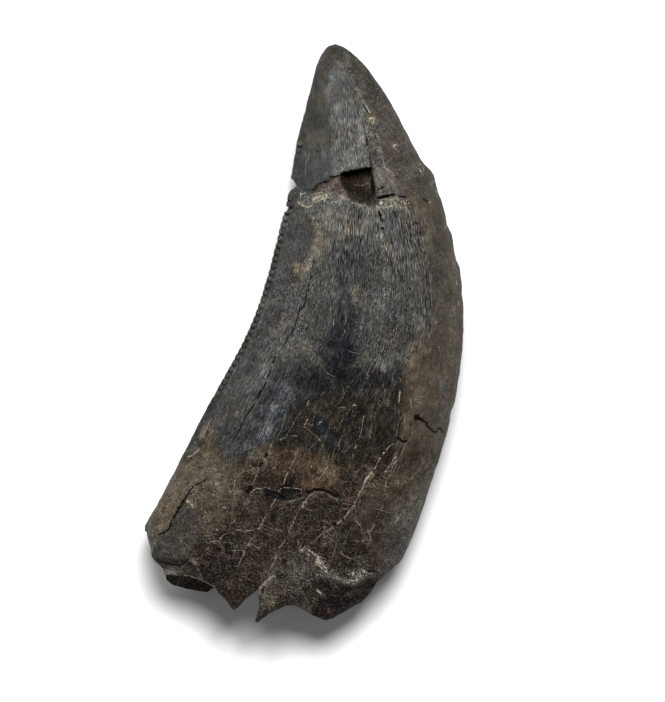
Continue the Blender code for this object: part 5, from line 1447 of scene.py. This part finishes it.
def tooth_object():
    """The tooth's visible mesh: both faces, the broken end and the tip, with its fields."""
    upper, upper_grain, upper_edge = face_grid(1)
    lower, lower_grain, lower_edge = face_grid(-1)
    lower[:, 0], lower[:, -1] = upper[:, 0], upper[:, -1]
    ring = ring_of(upper, lower)
    rows, columns = ring.shape[0] - 1, ring.shape[1]
    end = end_grid(upper[0], lower[0])[:, 1:-1]
    end_points = end.reshape(-1, 3)

    sides = np.ones((rows, columns))
    sides[:, HALF_COLUMNS + 1:] = -1.0
    side = np.concatenate([sides.ravel(), [1.0], np.zeros(len(end_points))])
    points = listed(ring, end_points)
    points[:, 2] = np.maximum(points[:, 2], 0.0)

    mesh = bpy.data.meshes.new("fossil_tooth")
    mesh.from_pydata((points * MM).tolist(), [], tooth_faces(rows, columns, end.shape[:2]))
    mesh.validate()
    mesh.shade_smooth()
    mesh.set_sharp_from_angle(angle=math.radians(SHARP_ANGLE))
    add_field(mesh, "grain", "FLOAT_VECTOR", listed(ring_of(upper_grain, lower_grain), end_points))
    add_field(mesh, "edge", "FLOAT_VECTOR", listed(ring_of(upper_edge, lower_edge),
                                                   np.tile(OFF_EDGE, (len(end_points), 1))))
    for name, values in surface_fields(points, side).items():
        add_field(mesh, name, "FLOAT_COLOR" if name == "tint" else "FLOAT", values)
    piece = bpy.data.objects.new("fossil_tooth", mesh)
    bpy.context.scene.collection.objects.link(piece)
    return piece


# ---------------------------------------------------------------------------------------------
# The material
# ---------------------------------------------------------------------------------------------
# Noises about zero: waves a millimetre, detail, roughness, gain in stops of brightness
DASHES = (13.5, 1.0, 0.6, 15.5)
GRAINS = (10.5, 1.0, 0.6, 13.0)
LONG_HAIRS = (4.6, 2.0, 0.6, 3.0)
SPECKS = (7.6, 1.0, 0.65, 7.2)
GRIT = (3.6, 1.0, 0.65, 3.7)
CLOTS = (1.5, 3.0, 0.65, 3.6)
CLOUDS = (0.5, 3.0, 0.55, 2.6)
# and those that shift the grain and the lines, with the gain in millimetres
STAGGER = (6.0, 0.0, 0.5, 3.0)
HAIR_JITTER = (5.0, 1.0, 0.6, 0.16)
LINE_WOBBLES = ((2.6, 2.0, 0.6, 0.10), (6.0, 1.0, 0.6, 0.16))

# How the noises that follow the grain are drawn out along it
STAGGER_STRETCH = (1.0, 0.03, 1.0)
DASH_STRETCH = (1.0, 0.10, 1.0)
GRAIN_STRETCH = (1.0, 0.37, 1.0)
HAIR_STRETCH = (1.0, 0.05, 1.0)

# Noises that open and close something: waves a millimetre, detail, roughness, the two levels
# between which it opens, and what it gives below and above them
PATCHY = (1.1, 2.0, 0.6, 0.32, 0.68, 0.6, 1.5)
COOL = (0.8, 3.0, 0.65, 0.36, 0.64)
MOSSY = (2.3, 2.0, 0.6, 0.36, 0.64)
HAIR_GATE = (4.2, 1.0, 0.6, 0.36, 0.60, 0.05, 0.85)
DUST_SPECKS = (4.6, 2.0, 0.7, 0.62, 0.70)
DUST_PATCHES = (0.6, 2.0, 0.5, 0.42, 0.62)
VEIN_GATE = (3.6, 2.0, 0.7, 0.36, 0.58, 0.30, 1.0)
VEIN_FADE = (1.0, 1.0, 0.5, 0.34, 0.56, 0.60, 1.0)
SLOT_WEAR = (0.9, 1.0, 0.5, 0.34, 0.54, 0.62, 1.0)

COOL_TINT, WARM_TINT = (0.96, 1.0, 1.05, 1.0), (1.05, 1.0, 0.92, 1.0)
PLAIN_TINT, MOSSY_TINT = (1.02, 0.992, 1.01, 1.0), (0.985, 1.01, 0.975, 1.0)
MOST_ABOVE = 2.6                # the most stops that a marking is above its tint
PALE_GAIN = 0.72                # and what share of them shows
# Bands: from one value to another, and what is given at them if not 0 and 1
HAIR_SHARE = (0.0, 1.0, 0.9, 1.2)       # of the long hairs, by how streaked a place is
CLOT_SHARE = (0.0, 1.0, 1.0, 0.8)       # of the clots, by how enamel-like it is
DUST_SHARE = (0.0, 1.0, 0.3, 0.2)       # of the dust, likewise
GREYING = (0.0, 2.0, 0.0, 0.45)         # of grey, by the stops above the tint
LINE_SHOWS = (0.0, 0.02)                # of a line, by its half width
CRUST_SHOWS = (0.05, 0.3)               # of the crust, by how thick it is
CRUST_BAND = (-0.02, 0.05)              # and by how far its noise is over its level
SLOT_WIDTH = (0.12, 0.05)               # of a slot, by the distance from its middle line
SLOT_LENGTH = (0.62, 0.46)              # and by the distance in from the edge
SLOT_END_WIDTH = (0.30, 0.20)           # of its wider end, by the distance from that line
SLOT_END_LENGTH = (0.09, 0.03)          # and from SLOT_END
SLOT_SHOWS = (0.0, 0.5)                 # of both, by how strong the denticles are

SLOT_END = 0.55                 # how far in from the edge a slot's wider end is
SLOT_END_SHARE = 0.8
LINE_EDGES = {"hair": 0.03, "vein": 0.025, "crack": 0.02}       # half widths of their soft edges
CRUST_NOISE = (4.6, 3.0, 0.75, 0.4)
CRUST_LEVEL = 0.67              # the noise above which thin crust shows
CRUST_EASE = 0.155              # how much lower it is where the crust is thick
CRUST_COVER = 0.85
BASE_ROUGHNESS = 0.66           # of the enamel, and what the root, gloss and one stop change it by
ROOT_ROUGHER = 0.06
GLOSS_ROUGHER = -0.30
STOP_ROUGHER = -0.04
MOST_ROUGH = 0.95
SPECULAR = 0.09
# How far, in millimetres, a stop, vein, crust, scratch and crack stand up in the bump
RISES = (0.014, 0.02, 0.05, 0.015, -0.15)


class Graph:
    """Short ways to add nodes to a material and join them."""

    def __init__(self, material):
        self.tree = material.node_tree

    def join(self, value, socket):
        """A number or colour set on a socket, or another node's socket linked to it."""
        if isinstance(value, bpy.types.NodeSocket):
            self.tree.links.new(value, socket)
        else:
            socket.default_value = value

    def node(self, kind, inputs=(), **settings):
        """A node with its settings made and its inputs joined, in order or by name."""
        made = self.tree.nodes.new("ShaderNode" + kind)
        for name, value in settings.items():
            setattr(made, name, value)
        for key, value in inputs.items() if isinstance(inputs, dict) else enumerate(inputs):
            self.join(value, made.inputs[key])
        return made

    def math(self, operation, *values):
        """One arithmetic step."""
        return self.node("Math", values, operation=operation).outputs[0]

    def times(self, first, second):
        """A product of two sockets or numbers."""
        return self.math("MULTIPLY", first, second)

    def total(self, *values):
        """The sum of several sockets or numbers."""
        result = values[0]
        for value in values[1:]:
            result = self.math("ADD", result, value)
        return result

    def minus(self, first, second):
        """A difference of two sockets or numbers."""
        return self.math("SUBTRACT", first, second)

    def vector(self, operation, *values):
        """One step of vector arithmetic."""
        return self.node("VectorMath", values, operation=operation).outputs[0]

    def scaled(self, vector, factor):
        """A vector or colour times a number or socket."""
        return self.node("VectorMath", {0: vector, "Scale": factor}, operation="SCALE").outputs[0]

    def field(self, name, output="Fac"):
        """A field of the mesh's points."""
        return self.node("Attribute", attribute_name=name).outputs[output]

    def noise(self, place, scale, detail, roughness, distortion=0.0):
        """Fractal noise, about 0 to 1."""
        inputs = {"Vector": place, "Scale": scale, "Detail": detail, "Roughness": roughness,
                  "Distortion": distortion}
        return self.node("TexNoise", inputs).outputs["Fac"]

    def centred(self, place, scale, detail, roughness, gain):
        """Noise about zero, gain from its lowest to its highest."""
        return self.times(self.minus(self.noise(place, scale, detail, roughness), 0.5), gain)

    def drawn_out(self, place, stretch, noise_settings):
        """Noise about zero on stretched places."""
        return self.centred(self.vector("MULTIPLY", place, stretch), *noise_settings)

    def band(self, value, low, high, start=0.0, end=1.0):
        """An S-curve from start at low to end at high."""
        inputs = {"Value": value, "From Min": low, "From Max": high, "To Min": start,
                  "To Max": end}
        return self.node("MapRange", inputs, interpolation_type="SMOOTHSTEP").outputs[0]

    def gate(self, place, scale, detail, roughness, *levels):
        """A noise made an S-curve between two levels."""
        return self.band(self.noise(place, scale, detail, roughness), *levels)

    def mix(self, share, first, second):
        """A blend of two colours."""
        made = self.node("Mix", data_type="RGBA", clamp_factor=True)
        for value, socket in ((share, 0), (first, 6), (second, 7)):
            self.join(value, made.inputs[socket])
        return made.outputs[2]


def line_mask(graph, name, wobble):
    """1 on the drawn lines of a field and 0 off them, with a slightly ragged edge."""
    distance = graph.math("ABSOLUTE", graph.total(graph.field(name), wobble))
    width = graph.field(name + "_width")
    mask = graph.band(graph.minus(distance, width), LINE_EDGES[name], -LINE_EDGES[name])
    return graph.times(mask, graph.band(width, *LINE_SHOWS))


def slot_shade_mask(graph, place, wobble):
    """Painted shade in the slots between the denticles of the serrated edge, fainter where it is
    worn, each with a wider end."""
    parts = graph.node("SeparateXYZ", (graph.field("edge", "Vector"),))
    run, inward, strength = parts.outputs
    slanted = graph.total(run, graph.times(inward, SLOT_SLANT))
    phase = graph.minus(graph.math("FRACT", graph.total(slanted, 0.5)), 0.5)
    away = graph.total(graph.math("ABSOLUTE", graph.times(phase, DENTICLE_PITCH)), wobble)
    slot = graph.times(graph.band(away, *SLOT_WIDTH), graph.band(inward, *SLOT_LENGTH))
    from_end = graph.math("ABSOLUTE", graph.minus(inward, SLOT_END))
    ends = graph.times(graph.band(away, *SLOT_END_WIDTH), graph.band(from_end, *SLOT_END_LENGTH))
    mask = graph.math("MAXIMUM", slot, graph.times(ends, SLOT_END_SHARE))
    return graph.times(graph.times(mask, graph.gate(place, *SLOT_WEAR)),
                       graph.band(strength, *SLOT_SHOWS))


def fine_markings(graph, place, enamel):
    """Stops of brightness: dashes along the grain on the enamel, staggered so that their ends
    don't line up, specks and mottling on the root, and clots and clouds all over."""
    grain = graph.field("grain", "Vector")
    stagger = graph.drawn_out(grain, STAGGER_STRETCH, STAGGER)
    grain = graph.vector("ADD", grain, graph.node("CombineXYZ", {"Y": stagger}).outputs[0])
    streaked = graph.math("MINIMUM", graph.field("streaked"), 1.0)
    grainy = graph.math("MINIMUM", graph.total(enamel, streaked), 1.0)
    fine = graph.total(
        graph.times(graph.drawn_out(grain, DASH_STRETCH, DASHES), streaked),
        graph.times(graph.drawn_out(grain, GRAIN_STRETCH, GRAINS), graph.minus(1.0, streaked)))
    hairs = graph.times(graph.drawn_out(grain, HAIR_STRETCH, LONG_HAIRS),
                        graph.band(streaked, *HAIR_SHARE))
    fine = graph.times(graph.total(fine, hairs), grainy)
    coarse = graph.total(graph.centred(place, *SPECKS), graph.centred(place, *GRIT))
    coarse = graph.times(coarse, graph.minus(1.0, grainy))
    stops = graph.times(graph.total(fine, coarse), graph.gate(place, *PATCHY))
    clots = graph.times(graph.centred(place, *CLOTS), graph.band(enamel, *CLOT_SHARE))
    stops = graph.times(graph.total(stops, clots), graph.field("tint", "Alpha"))
    return graph.total(stops, graph.centred(place, *CLOUDS))


def marked_tint(graph, place, stops):
    """The tint, warmer and cooler in places, made darker and paler by the markings."""
    warmth = graph.mix(graph.gate(place, *COOL), COOL_TINT, WARM_TINT)
    warmth = graph.vector("MULTIPLY", warmth,
                          graph.mix(graph.gate(place, *MOSSY), PLAIN_TINT, MOSSY_TINT))
    darker = graph.math("POWER", 2.0, graph.math("MINIMUM", stops, 0.0))
    above = graph.math("MINIMUM", graph.math("MAXIMUM", stops, 0.0), MOST_ABOVE)
    paler = graph.math("POWER", 2.0, graph.times(above, PALE_GAIN))
    base = graph.scaled(graph.vector("MULTIPLY", graph.field("tint", "Color"), warmth),
                        graph.times(darker, paler))
    grey = graph.node("CombineXYZ", [graph.node("RGBToBW", (base,)).outputs[0]] * 3).outputs[0]
    base = graph.mix(graph.band(stops, *GREYING), base, grey)
    return graph.vector("ADD", base, graph.scaled(above, PALE_SPECK))


def hair_mask(graph, place):
    """Fine pale scratches."""
    jitter = graph.centred(place, *HAIR_JITTER)
    return graph.times(line_mask(graph, "hair", jitter), graph.gate(place, *HAIR_GATE))


def dust_mask(graph, place, enamel):
    """Specks of dust in patches, most on the root."""
    dust = graph.times(graph.gate(place, *DUST_SPECKS), graph.gate(place, *DUST_PATCHES))
    return graph.times(dust, graph.band(enamel, *DUST_SHARE))


def crust_mask(graph, place):
    """Cream crust, in patches."""
    thick = graph.field("crust")
    level = graph.minus(CRUST_LEVEL, graph.times(thick, CRUST_EASE))
    crust = graph.band(graph.minus(graph.noise(place, *CRUST_NOISE), level), *CRUST_BAND)
    return graph.times(crust, graph.band(thick, *CRUST_SHOWS))


def vein_mask(graph, place, wobble):
    """Pale veins, broken and faded in places."""
    gates = graph.times(graph.gate(place, *VEIN_GATE), graph.gate(place, *VEIN_FADE))
    return graph.times(line_mask(graph, "vein", wobble), gates)


def fossil_material():
    """Fossil enamel and bone: streaked along the grain, mottled, crazed, cracked and veined, with
    painted shade in the denticles' slots.
    """
    material = bpy.data.materials.new("fossil_surface")
    material.use_nodes = True
    graph = Graph(material)
    shader = material.node_tree.nodes["Principled BSDF"]
    place = graph.scaled(graph.node("TexCoord").outputs["Object"], 1.0 / MM)
    enamel = graph.field("enamel")
    wobble = graph.total(*(graph.centred(place, *settings) for settings in LINE_WOBBLES))

    stops = fine_markings(graph, place, enamel)
    hair = hair_mask(graph, place)
    crust = crust_mask(graph, place)
    vein = vein_mask(graph, place, wobble)
    # the crack lines, together with the painted shade in the slots between the denticles
    crack = graph.math("MAXIMUM", line_mask(graph, "crack", wobble),
                       slot_shade_mask(graph, place, graph.times(wobble, 0.5)))
    hair_colour = graph.mix(graph.field("hair_kind"), *(rgba(shade) for shade in HAIR_COLOURS))
    vein_colour = graph.mix(graph.field("vein_kind"), rgba(VEIN_COLOUR), rgba(CREAM))
    base = marked_tint(graph, place, stops)
    for mask, colour in ((hair, hair_colour),
                         (dust_mask(graph, place, enamel), rgba(DUST_COLOUR)),
                         (graph.times(crust, CRUST_COVER), rgba(CRUST_COLOUR)),
                         (vein, vein_colour), (crack, rgba(CRACK_AND_SHADE_COLOUR))):
        base = graph.mix(mask, base, colour)
    graph.join(base, shader.inputs["Base Color"])

    rough = graph.total(graph.times(graph.minus(1.0, enamel), ROOT_ROUGHER), BASE_ROUGHNESS,
                        graph.times(graph.field("gloss"), GLOSS_ROUGHER),
                        graph.times(stops, STOP_ROUGHER))
    graph.join(graph.math("MINIMUM", rough, MOST_ROUGH), shader.inputs["Roughness"])
    shader.inputs["Specular IOR Level"].default_value = SPECULAR

    height = graph.total(*(graph.times(mask, rise)
                           for mask, rise in zip((stops, vein, crust, hair, crack), RISES)))
    bump = graph.node("Bump", {"Strength": 1.0, "Distance": MM, "Height": height})
    graph.join(bump.outputs["Normal"], shader.inputs["Normal"])
    return material


# ---------------------------------------------------------------------------------------------
# Floor, light and camera
# ---------------------------------------------------------------------------------------------
FLOOR_REACH = 1.5               # metres, as are the lights' distances and sizes
FLOOR_DROP = 0.02               # how far the floor lies under the tooth, in millimetres
FLOOR_WHITE = (0.93, 0.93, 0.93, 1.0)
# name, direction from the tooth, distance, width, length, watts
LIGHTS = (
    ("key", (0.05, 0.29, 0.955), 0.9, 0.30, 0.27, 10.5),
    ("fill", (-0.20, 0.90, 0.40), 0.9, 0.35, 0.35, 2.4),
)
SURROUND = 0.18                 # strength of the even light from all sides
CAMERA_HEIGHT = 1500.0          # from the camera down to the height of the tooth's outline
OUTLINE_HEIGHT = 7.5
SENSOR_WIDTH = 36.0
CLIP = (0.01, 10.0)


def floor_material():
    """Plain matt white."""
    material = bpy.data.materials.new("floor_white")
    material.use_nodes = True
    shader = material.node_tree.nodes["Principled BSDF"]
    shader.inputs["Base Color"].default_value = FLOOR_WHITE
    shader.inputs["Roughness"].default_value = 0.9
    shader.inputs["Specular IOR Level"].default_value = 0.0
    return material


def add_floor():
    """A wide white floor just under the tooth."""
    mesh = bpy.data.meshes.new("floor")
    corners = [(x * FLOOR_REACH, y * FLOOR_REACH, 0.0)
               for x, y in ((-1, -1), (1, -1), (1, 1), (-1, 1))]
    mesh.from_pydata(corners, [], [(0, 1, 2, 3)])
    mesh.materials.append(floor_material())
    floor = bpy.data.objects.new("floor", mesh)
    floor.location.z = -FLOOR_DROP * MM
    bpy.context.scene.collection.objects.link(floor)


def add_area_light(name, toward, distance, size, length, power):
    """An oval soft light, toward giving its direction from the tooth."""
    light = bpy.data.lights.new(name, "AREA")
    light.shape = "ELLIPSE"
    light.size = size
    light.size_y = length
    light.energy = power
    item = bpy.data.objects.new(name, light)
    direction = Vector(toward).normalized()
    item.location = direction * distance
    item.rotation_euler = direction.to_track_quat("Z", "Y").to_euler()
    bpy.context.scene.collection.objects.link(item)


def add_lights():
    """A key from above, a little toward the tip, a weak light low beyond the tip, and a faint
    even surround."""
    for settings in LIGHTS:
        add_area_light(*settings)
    world = bpy.data.worlds.new("surround")
    world.use_nodes = True
    background = world.node_tree.nodes["Background"]
    background.inputs["Color"].default_value = (1.0, 1.0, 1.0, 1.0)
    background.inputs["Strength"].default_value = SURROUND
    bpy.context.scene.world = world
    bpy.context.scene.view_settings.view_transform = "Standard"


def add_camera():
    """A long lens straight above the middle of the picture."""
    camera = bpy.data.cameras.new("camera")
    camera.sensor_fit = "HORIZONTAL"
    camera.sensor_width = SENSOR_WIDTH
    camera.lens = camera.sensor_width * CAMERA_HEIGHT / (PICTURE[0] * PIXEL)
    camera.clip_start, camera.clip_end = CLIP
    item = bpy.data.objects.new("camera", camera)
    (x, y), = from_picture((PICTURE[0] / 2.0, PICTURE[1] / 2.0))
    item.location = (x * MM, y * MM, (OUTLINE_HEIGHT + CAMERA_HEIGHT) * MM)
    bpy.context.scene.collection.objects.link(item)
    bpy.context.scene.camera = item


add_camera()
add_floor()
add_lights()
tooth = tooth_object()
tooth.data.materials.append(fossil_material())
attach(tooth, "root")
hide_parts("tooth")
